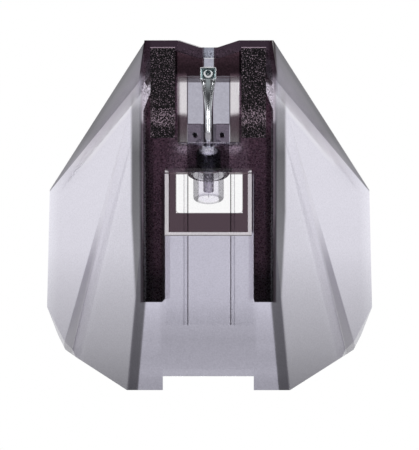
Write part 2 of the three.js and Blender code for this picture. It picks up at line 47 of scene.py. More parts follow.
TABLE_ROUGHNESS = 0.6
IMAGE_HEIGHT = 450
CAMERA_HEIGHT = 160 * MM
CAMERA_SIDE = 1.2 * MM
CLIP_START = 5 * MM
RIM_SCALE = 0.05427 * MM            # metres for each pixel at the level of the rim
AIM = Vector((0.0, -0.72 * MM, 0.0))
SENSOR = 36.0
WHITE = (1, 1, 1, 1)
HORIZON = (0.9, 0.9, 0.92, 1)
OVERHEAD = (0.05, 0.05, 0.055, 1)
HORIZON_RISE, OVERHEAD_RISE = 0.3, 0.8
STUDIO_STRENGTH = 0.8
SOFTBOXES = (                       # name, place and size in metres, and power in watts
    ("rear_left_softbox", (-0.066, -0.14, 0.15), 0.045, 0.032),
    ("rear_right_softbox", (0.066, -0.14, 0.15), 0.045, 0.032),
    ("key_softbox", (-0.14, 0.12, 0.16), 0.08, 0.16),
    ("fill_softbox", (0.16, 0.06, 0.14), 0.1, 0.12),
)

scene = bpy.context.scene
scene.view_settings.view_transform = "Standard"


def new_paint(name):
    """A material with its tree and its shader."""
    material = bpy.data.materials.new(name)
    material.use_nodes = True
    return material, material.node_tree, material.node_tree.nodes["Principled BSDF"]


def white_where_seen(tree, plain, ray_kinds):
    """White of strength 1 for these kinds of ray, and the plain shader for all others."""
    path = tree.nodes.new("ShaderNodeLightPath")
    seen = path.outputs[ray_kinds[0]]
    for kind in ray_kinds[1:]:
        either = tree.nodes.new("ShaderNodeMath")
        either.operation = "MAXIMUM"
        tree.links.new(seen, either.inputs[0])
        tree.links.new(path.outputs[kind], either.inputs[1])
        seen = either.outputs[0]
    white = tree.nodes.new("ShaderNodeEmission")
    white.inputs["Color"].default_value = WHITE
    white.inputs["Strength"].default_value = 1.0
    mix = tree.nodes.new("ShaderNodeMixShader")
    tree.links.new(seen, mix.inputs["Fac"])
    tree.links.new(plain, mix.inputs[1])
    tree.links.new(white.outputs[0], mix.inputs[2])
    return mix.outputs[0]


table_mesh = bpy.data.meshes.new("light_table")
table_mesh.from_pydata(
    [(x * TABLE_HALF, y * TABLE_HALF, -TABLE_DROP) for x, y in ((-1, -1), (1, -1), (1, 1), (-1, 1))],
    [], [(0, 1, 2, 3)],
)
table = bpy.data.objects.new("light_table", table_mesh)
scene.collection.objects.link(table)
table_paint, tree, shader = new_paint("light_table")
shader.inputs["Base Color"].default_value = TABLE_COLOR
shader.inputs["Roughness"].default_value = TABLE_ROUGHNESS
lit = white_where_seen(
    tree, shader.outputs[0], ("Is Camera Ray", "Is Glossy Ray", "Is Transmission Ray"),
)
tree.links.new(lit, tree.nodes["Material Output"].inputs["Surface"])
table_mesh.materials.append(table_paint)

# The studio is pale near the table and dark overhead, where the camera hangs
world = bpy.data.worlds.new("studio")
scene.world = world
world.use_nodes = True
tree = world.node_tree
tree.nodes.clear()
where = tree.nodes.new("ShaderNodeTexCoord")
split = tree.nodes.new("ShaderNodeSeparateXYZ")
tree.links.new(where.outputs["Generated"], split.inputs[0])
rise = tree.nodes.new("ShaderNodeValToRGB")
rise.color_ramp.elements[0].position = HORIZON_RISE
rise.color_ramp.elements[0].color = HORIZON
rise.color_ramp.elements[1].position = OVERHEAD_RISE
rise.color_ramp.elements[1].color = OVERHEAD
tree.links.new(split.outputs["Z"], rise.inputs[0])
plain_sky = tree.nodes.new("ShaderNodeBackground")
tree.links.new(rise.outputs[0], plain_sky.inputs["Color"])
plain_sky.inputs["Strength"].default_value = STUDIO_STRENGTH
world_out = tree.nodes.new("ShaderNodeOutputWorld")
tree.links.new(
    white_where_seen(tree, plain_sky.outputs[0], ("Is Camera Ray",)), world_out.inputs["Surface"],
)

for name, place, size, power in SOFTBOXES:
    data = bpy.data.lights.new(name, "AREA")
    data.size = size
    data.energy = power
    lamp = bpy.data.objects.new(name, data)
    scene.collection.objects.link(lamp)
    lamp.location = place
    lamp.rotation_euler = (AIM - Vector(place)).to_track_quat("-Z", "Y").to_euler()

lens = bpy.data.cameras.new("camera")
lens.sensor_width = SENSOR
lens.lens = SENSOR * CAMERA_HEIGHT / (RIM_SCALE * IMAGE_HEIGHT)
lens.clip_start = CLIP_START
camera = bpy.data.objects.new("camera", lens)
scene.collection.objects.link(camera)
camera.location = (CAMERA_SIDE, AIM.y, CAMERA_HEIGHT)
camera.rotation_euler = (0.0, math.atan2(CAMERA_SIDE, CAMERA_HEIGHT), 0.0)
scene.camera = camera


# Outer shell.
# One thin moulding in translucent smoked plastic: a flat plate between two faceted wings, with a
# spark-eroded satin face. Painted shade darkens its flanks, nose, sides and rear, and painted light
# and painted glints lift a few places over the frame and the hub.
SHELL_EDGE = 0.05 * MM
EDGE_STEPS, FINE_EDGE_STEPS = 3, 2
MERGE_GAP = 0.02 * MM
FLAT_ANGLE, SHARP_ANGLE = math.radians(1), math.radians(12)
SHELL_SMOKE = (0.72, 0.7, 0.73, 1)
SHELL_DENSITY = 500
SHELL_BASE = (0.915, 0.905, 0.995, 1)
SHELL_GRAIN = 0.075 * MM
# The low index leaves out the dark lines that light through a real index draws at each wall
SHELL_IOR = 1.005
SHELL_COAT, SIDE_COAT = 0.7, 0.1
CLEAR_RELIEF = 0.02 * MM

# Places in the paint are in millimetres. A region is a list of soft steps, each on one axis with
# the places where it is 0 and 1. A tone is what the paint is multiplied by.
ACROSS, ALONG, HEIGHT = range(3)
PLATE_EDGE = 3.5
FLANK_START, FLANK_SPREAD = -1.455, 0.0903
PLATE_SIDE, PLATE_LEVEL = (0.02, -0.05), (7.9, 8.0)
PLATE_TINT = (1.05, 1.04, 1.1, 1)
WING_SHADE_TONES = (
    (-9.3, 0.33), (-8.7, 0.38), (-7.1, 0.54), (-4.65, 0.72), (-2.0, 0.96), (0.5, 1.0), (9.3, 1.0),
)
PLATE_SHADE_TONES = (
    (-9.3, 0.42), (-8.8, 0.43), (-8.3, 0.5), (-7.7, 0.47), (-6.6, 0.45), (-5.6, 0.53), (-4.6, 0.66),
    (-3.5, 0.7), (-1.2, 0.71), (9.3, 0.71),
)
BAND_WIDTH, BAND_FRONT, BAND_SPREAD, BAND_GAP = 0.62, 4.02, 0.05, 0.03
BAND_OUTER_STEP, BAND_INNER_STEP = (0.05, -0.12), (-0.05, 0.1)
BAND_SHADE_TONES = (
    (-9.3, 0.35), (-6.9, 0.31), (-4.6, 0.25), (-2.2, 0.28), (0.5, 0.19), (3.0, 0.14), (5.2, 0.4),
    (6.2, 1.0), (9.3, 1.0),
)
CREASE, VALLEY = Vector((4.1, 5.11)), Vector((7.76, -6.97))
FACET_SPREAD = 0.0485
FACET_INNER_STEP, FACET_OUTER_STEP, FACET_START = (-0.04, 0.04), (0.08, -0.12), (5.0, 9.0)
FACET_SHADE = (0.33, 0.31, 0.37, 1)
INNER_WING_STEP = (0.0, 0.9)
INNER_WING_SHADE_TONES = ((-9.3, 0.82), (0.0, 0.9), (4.0, 0.95))
NOSE_RIM, WING_FRONT = Vector((3.47, 9.305, 0)), Vector((8.67, 1.18, 0))
SHOULDER = Vector((3.57, 6.68, 8.6))
SIDE_FACE, SIDE_START = (-0.06, -0.02), ((ACROSS, 3.3, 3.4),)
SIDE_SHADE_TONES = ((1.0, 1.0), (2.4, 0.96), (4.2, 0.4), (6.4, 0.5), (9.3, 0.45))
SIDE_RISE_SHADE_TONES = ((0.0, 0.4), (0.35, 0.12), (1.5, 0.16), (4.0, 0.5), (6.5, 0.9), (8.6, 1.0))
WALL_BACK, WALL_FACE = (-0.62, -0.5), (-0.02, -0.06)
WALL_REACH = ((ACROSS, 3.6, 3.8), (ALONG, 2.0, 3.0))
WALL_LIGHT_TINT = (1.05, 1.05, 1.005, 1)
NOSE = ((ALONG, 6.8, 7.2), (ACROSS, 3.62, 3.5))
NOSE_SMOKE_SHADE = (0.18, 0.13, 0.15, 1)
NOSE_SIDE, NOSE_SIDE_SHADE = ((ACROSS, 3.1, 3.3),), (0.5, 0.4, 0.42, 1)
WEB, WEB_SHADE = ((ACROSS, 0.34, 0.22),), (0.37, 0.39, 0.43, 1)
OVER_HUB, HUB_LIGHT = ((ACROSS, 0.5, 0.3), (ALONG, 2.9, 3.1), (ALONG, 3.5, 3.4)), 1.4
BESIDE_LEG = ((ACROSS, 3.28, 3.32), (ACROSS, 3.54, 3.44), (ALONG, -4.75, -4.65), (ALONG, 4.8, 4.4))
BESIDE_LEG_SHADE = (0.22, 0.18, 0.2, 1)
RELIEF = ((ACROSS, 2.9, 2.95), (ACROSS, 3.5, 3.45), (ALONG, 4.4, 4.8), (ALONG, 7.2, 7.0))
RELIEF_TONE = (0.84, 0.78, 0.78, 1)
BY_REAR, BY_REAR_TONE = ((ACROSS, 2.3, 2.6), (ALONG, -4.6, -4.8), (ALONG, -7.6, -6.8)), 1.12
OVER_WINDOW = ((ACROSS, 2.4, 2.3), (ALONG, 2.1, 2.0))
OVER_FRAME = ((ACROSS, 3.4, 3.3), (ALONG, -4.7, -4.6), (ALONG, 8.5, 8.3))
OVER_FRAME_TONE, GLINT_TONE = 1.7, 2.2
MOTTLE, FRAME_MOTTLE, WALL_MOTTLE = 0.2, 0.75, -0.17
COAT_IOR = 1.5

# The spark-eroded face: the mottle and the specks of painted glints have their own pitch, as a share
# of the grains'
GRAIN_DETAIL, MOTTLE_DETAIL, MOTTLE_ROUGHNESS = 2.0, 3.0, 0.7
MOTTLE_PITCH, GLINT_PITCH = 0.9, 0.8
MOTTLE_STEP, GLINT_SIDE_STEP, GLINT_CHOICE_STEP = (0.3, 0.7), (0.45, 0.2), (0.72, 0.8)


def moulding(node, name, edge):
    """The node's solid with joined facets and broken edges, as a piece of its own."""
    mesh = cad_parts[node].data.copy()
    mesh.name = name
    shape = bmesh.new()
    shape.from_mesh(mesh)
    bmesh.ops.remove_doubles(shape, verts=shape.verts, dist=MERGE_GAP)
    bmesh.ops.dissolve_limit(shape, angle_limit=FLAT_ANGLE, verts=shape.verts, edges=shape.edges)
    for face in shape.faces:
        face.smooth = True
    for side in shape.edges:
        side.smooth = side.calc_face_angle(0) < SHARP_ANGLE
    weight = shape.edges.layers.float.new("bevel_weight_edge")
    for side in shape.edges:
        side[weight] = float(side.calc_face_angle_signed(0) > SHARP_ANGLE)
    shape.to_mesh(mesh)
    shape.free()
    mesh.materials.clear()
    piece = bpy.data.objects.new(name, mesh)
    scene.collection.objects.link(piece)
    bevel = piece.modifiers.new("broken_edges", "BEVEL")
    bevel.width = edge
    bevel.segments = EDGE_STEPS
    bevel.limit_method = "WEIGHT"
    bevel.use_clamp_overlap = True
    even = piece.modifiers.new("even_normals", "WEIGHTED_NORMAL")
    even.keep_sharp = True
    return piece


def plug_in(tree, socket, value):
    """Links a socket to an input, or sets the input to a plain value."""
    if isinstance(value, bpy.types.NodeSocket):
        tree.links.new(value, socket)
    elif value is not None:
        socket.default_value = value


def worked(tree, operation, first, second=None, third=None):
    """The result of a sum on sockets or plain values."""
    node = tree.nodes.new("ShaderNodeMath")
    node.operation = operation
    for socket, value in zip(node.inputs, (first, second, third)):
        plug_in(tree, socket, value)
    return node.outputs[0]


def outside(tree, mask):
    """1 where the mask is 0."""
    return worked(tree, "SUBTRACT", 1.0, mask)


def eased(tree, value, none_at, full_at):
    """A soft step from 0 at one place to 1 at the other."""
    node = tree.nodes.new("ShaderNodeMapRange")
    node.interpolation_type = "SMOOTHSTEP"
    plug_in(tree, node.inputs["Value"], value)
    rising = none_at < full_at
    node.inputs["From Min"].default_value = min(none_at, full_at)
    node.inputs["From Max"].default_value = max(none_at, full_at)
    node.inputs["To Min"].default_value = 0.0 if rising else 1.0
    node.inputs["To Max"].default_value = 1.0 if rising else 0.0
    return node.outputs["Result"]


def together(tree, *masks, operation="MULTIPLY"):
    """The product of the masks, or another operation over all of them."""
    result = masks[0]
    for mask in masks[1:]:
        result = worked(tree, operation, result, mask)
    return result


def region(tree, spot, steps):
    """1 inside the soft steps, from the spot's places on the three axes."""
    return together(tree, *(eased(tree, spot[axis], low, high) for axis, low, high in steps))


def tone_along(tree, value, stops):
    """A tone from pairs of place and tone along one axis, in millimetres."""
    low, high = stops[0][0], stops[-1][0]
    share = worked(tree, "DIVIDE", worked(tree, "SUBTRACT", value, low), high - low)
    node = tree.nodes.new("ShaderNodeValToRGB")
    ramp = node.color_ramp
    for place, tone in stops[1:-1]:
        ramp.elements.new((place - low) / (high - low)).color = (tone, tone, tone, 1)
    ramp.elements[0].color = (*[stops[0][1]] * 3, 1)
    ramp.elements[-1].color = (*[stops[-1][1]] * 3, 1)
    tree.links.new(share, node.inputs[0])
    return node.outputs["Color"]


def blended(tree, share, first, second, blend="MIX"):
    """One colour blended with another, as far as the share goes."""
    node = tree.nodes.new("ShaderNodeMix")
    node.data_type = "RGBA"
    node.blend_type = blend
    plug_in(tree, node.inputs["Factor"], share)
    for socket, color in zip([socket for socket in node.inputs if socket.type == "RGBA"], (first, second)):
        plug_in(tree, socket, color)
    return [socket for socket in node.outputs if socket.type == "RGBA"][0]


def multiplied_where(tree, color, mask, tone):
    """The colour times a tone where the mask is 1."""
    if isinstance(tone, (int, float)):
        tone = (tone, tone, tone, 1)
    return blended(tree, mask, color, tone, "MULTIPLY")


def mottled(tree, color, texture, share, tone=0.0):
    """The colour darkened by a share of the texture's mottle."""
    return multiplied_where(tree, color, worked(tree, "MULTIPLY", texture.outputs["Mottle"], share), tone)


def places_in_mm(tree):
    """Distance from the middle plane, place along the object and height, in millimetres."""
    place = tree.nodes.new("ShaderNodeTexCoord")
    scale = tree.nodes.new("ShaderNodeVectorMath")
    scale.operation = "SCALE"
    scale.inputs["Scale"].default_value = 1 / MM
    tree.links.new(place.outputs["Object"], scale.inputs[0])
    split = tree.nodes.new("ShaderNodeSeparateXYZ")
    tree.links.new(scale.outputs[0], split.inputs[0])
    return worked(tree, "ABSOLUTE", split.outputs["X"]), split.outputs["Y"], split.outputs["Z"]


def noise_in(tree, place, scale, detail, roughness=0.5):
    """Noise at a place, with its scale for each metre as a value or a socket."""
    node = tree.nodes.new("ShaderNodeTexNoise")
    node.inputs["Detail"].default_value = detail
    node.inputs["Roughness"].default_value = roughness
    tree.links.new(place, node.inputs["Vector"])
    plug_in(tree, node.inputs["Scale"], scale)
    return node.outputs["Fac"]


def spark_grain_group():
    """A spark-eroded face: grains of one size for height, roughness, mottle and a few specks for painted
    glints.
    """
    group = bpy.data.node_groups.new("spark_grain", "ShaderNodeTree")
    for name in ("Grain Size", "Roughness", "Roughness Swing"):
        group.interface.new_socket(name, in_out="INPUT", socket_type="NodeSocketFloat")
    for name in ("Height", "Roughness", "Mottle", "Glints"):
        group.interface.new_socket(name, in_out="OUTPUT", socket_type="NodeSocketFloat")
    start = group.nodes.new("NodeGroupInput")
    end = group.nodes.new("NodeGroupOutput")
    place = group.nodes.new("ShaderNodeTexCoord").outputs["Object"]
    pitch = worked(group, "DIVIDE", 1.0, start.outputs["Grain Size"])
    grains = noise_in(group, place, pitch, GRAIN_DETAIL)
    group.links.new(grains, end.inputs["Height"])
    roughness = worked(
        group, "MULTIPLY_ADD", grains, start.outputs["Roughness Swing"], start.outputs["Roughness"],
    )
    group.links.new(roughness, end.inputs["Roughness"])
    mottle = noise_in(
        group, place, worked(group, "MULTIPLY", pitch, MOTTLE_PITCH), MOTTLE_DETAIL,
        MOTTLE_ROUGHNESS,
    )
    group.links.new(eased(group, mottle, *MOTTLE_STEP), end.inputs["Mottle"])
    glint_cells = group.nodes.new("ShaderNodeTexVoronoi")
    glint_cells.feature = "F1"
    group.links.new(place, glint_cells.inputs["Vector"])
    group.links.new(worked(group, "MULTIPLY", pitch, GLINT_PITCH), glint_cells.inputs["Scale"])
    chosen = group.nodes.new("ShaderNodeSeparateColor")
    group.links.new(glint_cells.outputs["Color"], chosen.inputs[0])
    near = eased(group, glint_cells.outputs["Distance"], *GLINT_SIDE_STEP)
    few = eased(group, chosen.outputs[0], *GLINT_CHOICE_STEP)
    group.links.new(together(group, near, few), end.inputs["Glints"])
    return group


spark_grain = spark_grain_group()


def grained(tree, shader, size, roughness, swing):
    """The spark grain at this size, which also sets the shader's roughness."""
    texture = tree.nodes.new("ShaderNodeGroup")
    texture.node_tree = spark_grain
    texture.inputs["Grain Size"].default_value = size
    texture.inputs["Roughness"].default_value = roughness
    texture.inputs["Roughness Swing"].default_value = swing
    tree.links.new(texture.outputs["Roughness"], shader.inputs["Roughness"])
    return texture


def in_relief(tree, shader, height, depth, strength):
    """A bump of this depth on the shader, from a height of 0 to 1."""
    relief = tree.nodes.new("ShaderNodeBump")
    relief.inputs["Strength"].default_value = strength
    relief.inputs["Distance"].default_value = depth
    tree.links.new(height, relief.inputs["Height"])
    tree.links.new(relief.outputs[0], shader.inputs["Normal"])


def coated(shader, weight, roughness):
    """The gloss of moulded plastic over the body of the material."""
    plug_in(shader.id_data, shader.inputs["Coat Weight"], weight)
    shader.inputs["Coat Roughness"].default_value = roughness


def clear_bodied(name, smoke, density, ior, grain, roughness, swing, bump):
    """Plastic in which light is lost on its way. Gives the material, tree, shader and texture."""
    material, tree, shader = new_paint(name)
    shader.inputs["Transmission Weight"].default_value = 1.0
    shader.inputs["IOR"].default_value = ior
    texture = grained(tree, shader, grain, roughness, swing)
    in_relief(tree, shader, texture.outputs["Height"], CLEAR_RELIEF, bump)
    loss = tree.nodes.new("ShaderNodeVolumeAbsorption")
    loss.inputs["Color"].default_value = smoke
    loss.inputs["Density"].default_value = density
    tree.links.new(loss.outputs[0], tree.nodes["Material Output"].inputs["Volume"])
    return material, tree, shader, texture


skin, tree, shader, texture = clear_bodied(
    "smoked_skin", SHELL_SMOKE, SHELL_DENSITY, SHELL_IOR, SHELL_GRAIN,
    roughness=0.3, swing=0.08, bump=0.4,
)
spot = across, along, height = places_in_mm(tree)

# Painted shade: the wings grow darker towards the rear, and the plate more so
flank_edge = worked(
    tree, "MULTIPLY_ADD", worked(tree, "MINIMUM", along, FLANK_START), -FLANK_SPREAD,
    PLATE_EDGE + FLANK_START * FLANK_SPREAD,
)
in_plate = together(
    tree, eased(tree, worked(tree, "SUBTRACT", across, flank_edge), *PLATE_SIDE),
    eased(tree, height, *PLATE_LEVEL),
)
tone = multiplied_where(tree, SHELL_BASE, outside(tree, in_plate), tone_along(tree, along, WING_SHADE_TONES))
tone = multiplied_where(tree, tone, in_plate, tone_along(tree, along, PLATE_SHADE_TONES))
tone = multiplied_where(tree, tone, in_plate, PLATE_TINT)

# Painted shade: the flank between plate and wing is the darkest of the skin, with a soft outer
# side in front
front_band = worked(
    tree, "MULTIPLY_ADD", worked(tree, "MINIMUM", along, 0.0), BAND_SPREAD, BAND_FRONT,
)
band_outer = worked(tree, "MAXIMUM", front_band, worked(tree, "ADD", flank_edge, BAND_GAP))
band_inner = worked(tree, "SUBTRACT", band_outer, BAND_WIDTH)
in_band = together(
    tree, eased(tree, worked(tree, "SUBTRACT", across, band_outer), *BAND_OUTER_STEP),
    eased(tree, worked(tree, "SUBTRACT", across, band_inner), *BAND_INNER_STEP),
)
tone = multiplied_where(tree, tone, in_band, tone_along(tree, along, BAND_SHADE_TONES))

# Painted shade on the steep facet of the wing, from a thin line in front to a broad band at the
# rear corner
run = (VALLEY - CREASE).normalized()
past = worked(
    tree, "MULTIPLY_ADD", across, run.x,
    worked(tree, "MULTIPLY_ADD", along, run.y, -CREASE.dot(run)),
)
inwards = worked(
    tree, "MULTIPLY_ADD", across, run.y,
    worked(tree, "MULTIPLY_ADD", along, -run.x, -CREASE.x * run.y + CREASE.y * run.x),
)
past_facet = worked(tree, "SUBTRACT", inwards, worked(tree, "MULTIPLY", past, FACET_SPREAD))
in_facet = together(
    tree, eased(tree, inwards, *FACET_INNER_STEP), eased(tree, past_facet, *FACET_OUTER_STEP),
    eased(tree, past, *FACET_START),
)
tone = multiplied_where(tree, tone, in_facet, FACET_SHADE)
# Painted shade: the inner wing grows darker towards the rear
on_inner_wing = together(tree, eased(tree, past_facet, *INNER_WING_STEP), outside(tree, in_plate))
tone = multiplied_where(tree, tone, on_inner_wing, tone_along(tree, along, INNER_WING_SHADE_TONES))

# Painted shade on the side facets, and a little painted light over the wall seen through them
outwards = (WING_FRONT - NOSE_RIM).cross(SHOULDER - NOSE_RIM).normalized()
if outwards.x < 0:
    outwards.negate()
off_side = worked(
    tree, "MULTIPLY_ADD", across, outwards.x,
    worked(
        tree, "MULTIPLY_ADD", along, outwards.y,
        worked(tree, "MULTIPLY_ADD", height, outwards.z, -NOSE_RIM.dot(outwards)),
    ),
)
on_side = together(tree, eased(tree, off_side, *SIDE_FACE), region(tree, spot, SIDE_START))
tone = multiplied_where(tree, tone, on_side, tone_along(tree, along, SIDE_SHADE_TONES))
tone = multiplied_where(tree, tone, on_side, tone_along(tree, height, SIDE_RISE_SHADE_TONES))
over_wall = together(
    tree, eased(tree, off_side, *WALL_BACK), eased(tree, off_side, *WALL_FACE),
    region(tree, spot, WALL_REACH),
)
tone = multiplied_where(tree, tone, over_wall, WALL_LIGHT_TINT)

# The nose's brown smoke deepened by painted shade, less of it over the thin web and more at the
# sides, painted light over the hub, painted shade beside the legs, and other small places made
# lighter and darker
in_nose = region(tree, spot, NOSE)
in_web = together(tree, in_nose, region(tree, spot, WEB))
tone = multiplied_where(tree, tone, worked(tree, "SUBTRACT", in_nose, in_web), NOSE_SMOKE_SHADE)
tone = multiplied_where(tree, tone, in_web, WEB_SHADE)
tone = multiplied_where(tree, tone, together(tree, in_nose, region(tree, spot, NOSE_SIDE)), NOSE_SIDE_SHADE)
tone = multiplied_where(tree, tone, region(tree, spot, OVER_HUB), HUB_LIGHT)
tone = multiplied_where(tree, tone, region(tree, spot, BESIDE_LEG), BESIDE_LEG_SHADE)
tone = multiplied_where(tree, tone, region(tree, spot, RELIEF), RELIEF_TONE)
tone = multiplied_where(tree, tone, together(tree, in_plate, region(tree, spot, BY_REAR)), BY_REAR_TONE)

# Mottle everywhere, and more of it over the dark frame, where painted glints fleck the skin
over_dark = together(
    tree, region(tree, spot, OVER_FRAME), outside(tree, region(tree, spot, OVER_WINDOW)),
)
tone = multiplied_where(tree, tone, over_dark, OVER_FRAME_TONE)
tone = multiplied_where(tree, tone, together(tree, over_dark, texture.outputs["Glints"]), GLINT_TONE)
share = worked(
    tree, "MULTIPLY_ADD", over_dark, FRAME_MOTTLE,
    worked(tree, "MULTIPLY_ADD", over_wall, WALL_MOTTLE, MOTTLE),
)
tree.links.new(mottled(tree, tone, texture, share), shader.inputs["Base Color"])
weight = worked(tree, "MULTIPLY_ADD", on_side, SIDE_COAT - SHELL_COAT, SHELL_COAT)
coated(shader, weight, roughness=0.18)
shader.inputs["Coat IOR"].default_value = COAT_IOR

# The bevel round the window and the end of the slot are painted pale, as painted highlights for the
# light they catch, with painted shade along the window's rear line and where they lie hidden
EDGE_HIGHLIGHT = (0.97, 0.92, 0.96, 1)
EDGE_HIGHLIGHT_GRAIN = 0.05 * MM
EDGE_HIGHLIGHT_MOTTLE, EDGE_HIGHLIGHT_MOTTLE_TONE = 0.3, 0.5
MOUTH_LINE, MOUTH_SHADE = ((ALONG, -1.28, -1.26), (ALONG, -1.22, -1.24)), 0.15
CORNER_GAP = ((ALONG, 1.9, 1.93), (ALONG, 2.0, 1.97))
PAST_CORNER = ((ALONG, 2.06, 2.1), (ALONG, 3.0, 2.9))
BESIDE_SLOT = ((ACROSS, 1.1, 1.14), (ALONG, 3.4, 3.5))
HIDDEN_SHADE = (0.1, 0.08, 0.09, 1)
WINDOW_REAR, WINDOW_FRONT, WINDOW_SIDE = -1.3 * MM, 1.9 * MM, 2.25 * MM
UPPER_FACES = 8 * MM
BEVEL_FACES = 8.3 * MM
SLOT_END, SLOT_END_REACH = 3.54 * MM, 0.05 * MM
BEVEL_SLOPES, SQUARE_ON = (0.5, 0.9), 0.9
edge_highlight_paint, tree, shader = new_paint("painted_edge_highlight")
texture = grained(tree, shader, EDGE_HIGHLIGHT_GRAIN, roughness=0.45, swing=0.2)
spot = places_in_mm(tree)
tone = mottled(tree, EDGE_HIGHLIGHT, texture, EDGE_HIGHLIGHT_MOTTLE, EDGE_HIGHLIGHT_MOTTLE_TONE)
tone = multiplied_where(tree, tone, region(tree, spot, MOUTH_LINE), MOUTH_SHADE)
hidden = together(
    tree, region(tree, spot, BESIDE_SLOT), region(tree, spot, CORNER_GAP),
    region(tree, spot, PAST_CORNER), operation="MAXIMUM",
)
tree.links.new(multiplied_where(tree, tone, hidden, HIDDEN_SHADE), shader.inputs["Base Color"])
shell = moulding("outer_shell", "shell_moulding", SHELL_EDGE)
shell.data.materials.append(skin)
shell.data.materials.append(edge_highlight_paint)
# The window's bevel and the square faces at the slot's end take the pale paint of painted highlight
for face in shell.data.polygons:
    centre, facing = face.center, face.normal
    round_window = abs(centre.x) < WINDOW_SIDE and WINDOW_REAR < centre.y < WINDOW_FRONT
    bevelled = BEVEL_SLOPES[0] < facing.z < BEVEL_SLOPES[1] and centre.z > BEVEL_FACES
    at_slot_end = abs(centre.y - SLOT_END) < SLOT_END_REACH and centre.z > UPPER_FACES
    if (round_window and bevelled) or (at_slot_end and facing.y > SQUARE_ON):
        face.material_index = 1
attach(shell, "housing")
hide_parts("outer_shell")


# Nose pads.
# Two strips of coarse spark-eroded texture moulded on the plate beside the cantilever slot. Each is
# a thin slab whose upper face is roughened by the same rule.
PAD_WIDTH, PAD_LENGTH = 1.27 * MM, 4.67 * MM
PAD_THICKNESS = 0.024 * MM
PAD_CENTRE = Vector((2.335, 6.085, 8.6)) * MM
PAD_GRAIN = 0.07 * MM
PAD_ROUGH_HEIGHT = 0.03 * MM
PAD_LEVEL_SHARE = 0.35              # the share of the noise that lies level with the slab
PAD_ROWS, PAD_COLUMNS = 196, 54
PAD_SEED = 3.0
PAD_DARK = (0.002, 0.001, 0.002, 1)
PAD_GLINT = (0.44, 0.33, 0.4, 1)
PAD_SPECKLE = 0.055 * MM
PAD_LIT_END, PAD_LIT_SHARE = ((ALONG, 4.2, 4.6), (ALONG, 5.4, 4.9)), 0.08
PAD_GLINT_STEP = (0.56, 0.71)
PAD_LINE, PAD_LINE_STEP, PAD_LINE_SHARE = 0.06, 0.02, 0.9
PAD_ROUGHNESS, PAD_SWING, PAD_SPECULAR = 0.35, 0.3, 0.25


def new_tree(name, inputs):
    """A Geometry Nodes tree that takes named sizes, in metres, and gives a mesh."""
    tree = bpy.data.node_groups.new(name, "GeometryNodeTree")
    for label, kind in inputs:
        tree.interface.new_socket(label, in_out="INPUT", socket_type="NodeSocket" + kind)
    tree.interface.new_socket("Geometry", in_out="OUTPUT", socket_type="NodeSocketGeometry")
    return tree, tree.nodes.new("NodeGroupInput"), tree.nodes.new("NodeGroupOutput")


def vector_of(tree, x=None, y=None, z=None):
    """A vector from its three parts, with 0 for a part that is left out."""
    node = tree.nodes.new("ShaderNodeCombineXYZ")
    for socket, value in zip(node.inputs, (x, y, z)):
        plug_in(tree, socket, value)
    return node.outputs[0]


def split_of(tree, vector):
    """The three parts of a vector."""
    node = tree.nodes.new("ShaderNodeSeparateXYZ")
    tree.links.new(vector, node.inputs[0])
    return node.outputs


def end_tree(tree, end, geometry, material):
    """Ends a tree in real geometry with its material."""
    real = tree.nodes.new("GeometryNodeRealizeInstances")
    tree.links.new(geometry, real.inputs[0])
    painted = tree.nodes.new("GeometryNodeSetMaterial")
    tree.links.new(real.outputs[0], painted.inputs["Geometry"])
    tree.links.new(material, painted.inputs["Material"])
    tree.links.new(painted.outputs[0], end.inputs[0])


def grown(name, tree, values, material):
    """The plain mesh that a tree makes with these values, as a piece of its own."""
    seed = bpy.data.objects.new(name + "_tree", bpy.data.meshes.new(name + "_tree"))
    scene.collection.objects.link(seed)
    modifier = seed.modifiers.new("shape", "NODES")
    modifier.node_group = tree
    for item in tree.interface.items_tree:
        if item.in_out == "INPUT" and item.name in values:
            modifier[item.identifier] = values[item.name]
        elif item.in_out == "INPUT" and item.socket_type == "NodeSocketMaterial":
            modifier[item.identifier] = material
    seen = seed.evaluated_get(bpy.context.evaluated_depsgraph_get())
    mesh = bpy.data.meshes.new_from_object(seen)
    bpy.data.objects.remove(seed)
    mesh.name = name
    piece = bpy.data.objects.new(name, mesh)
    scene.collection.objects.link(piece)
    return piece


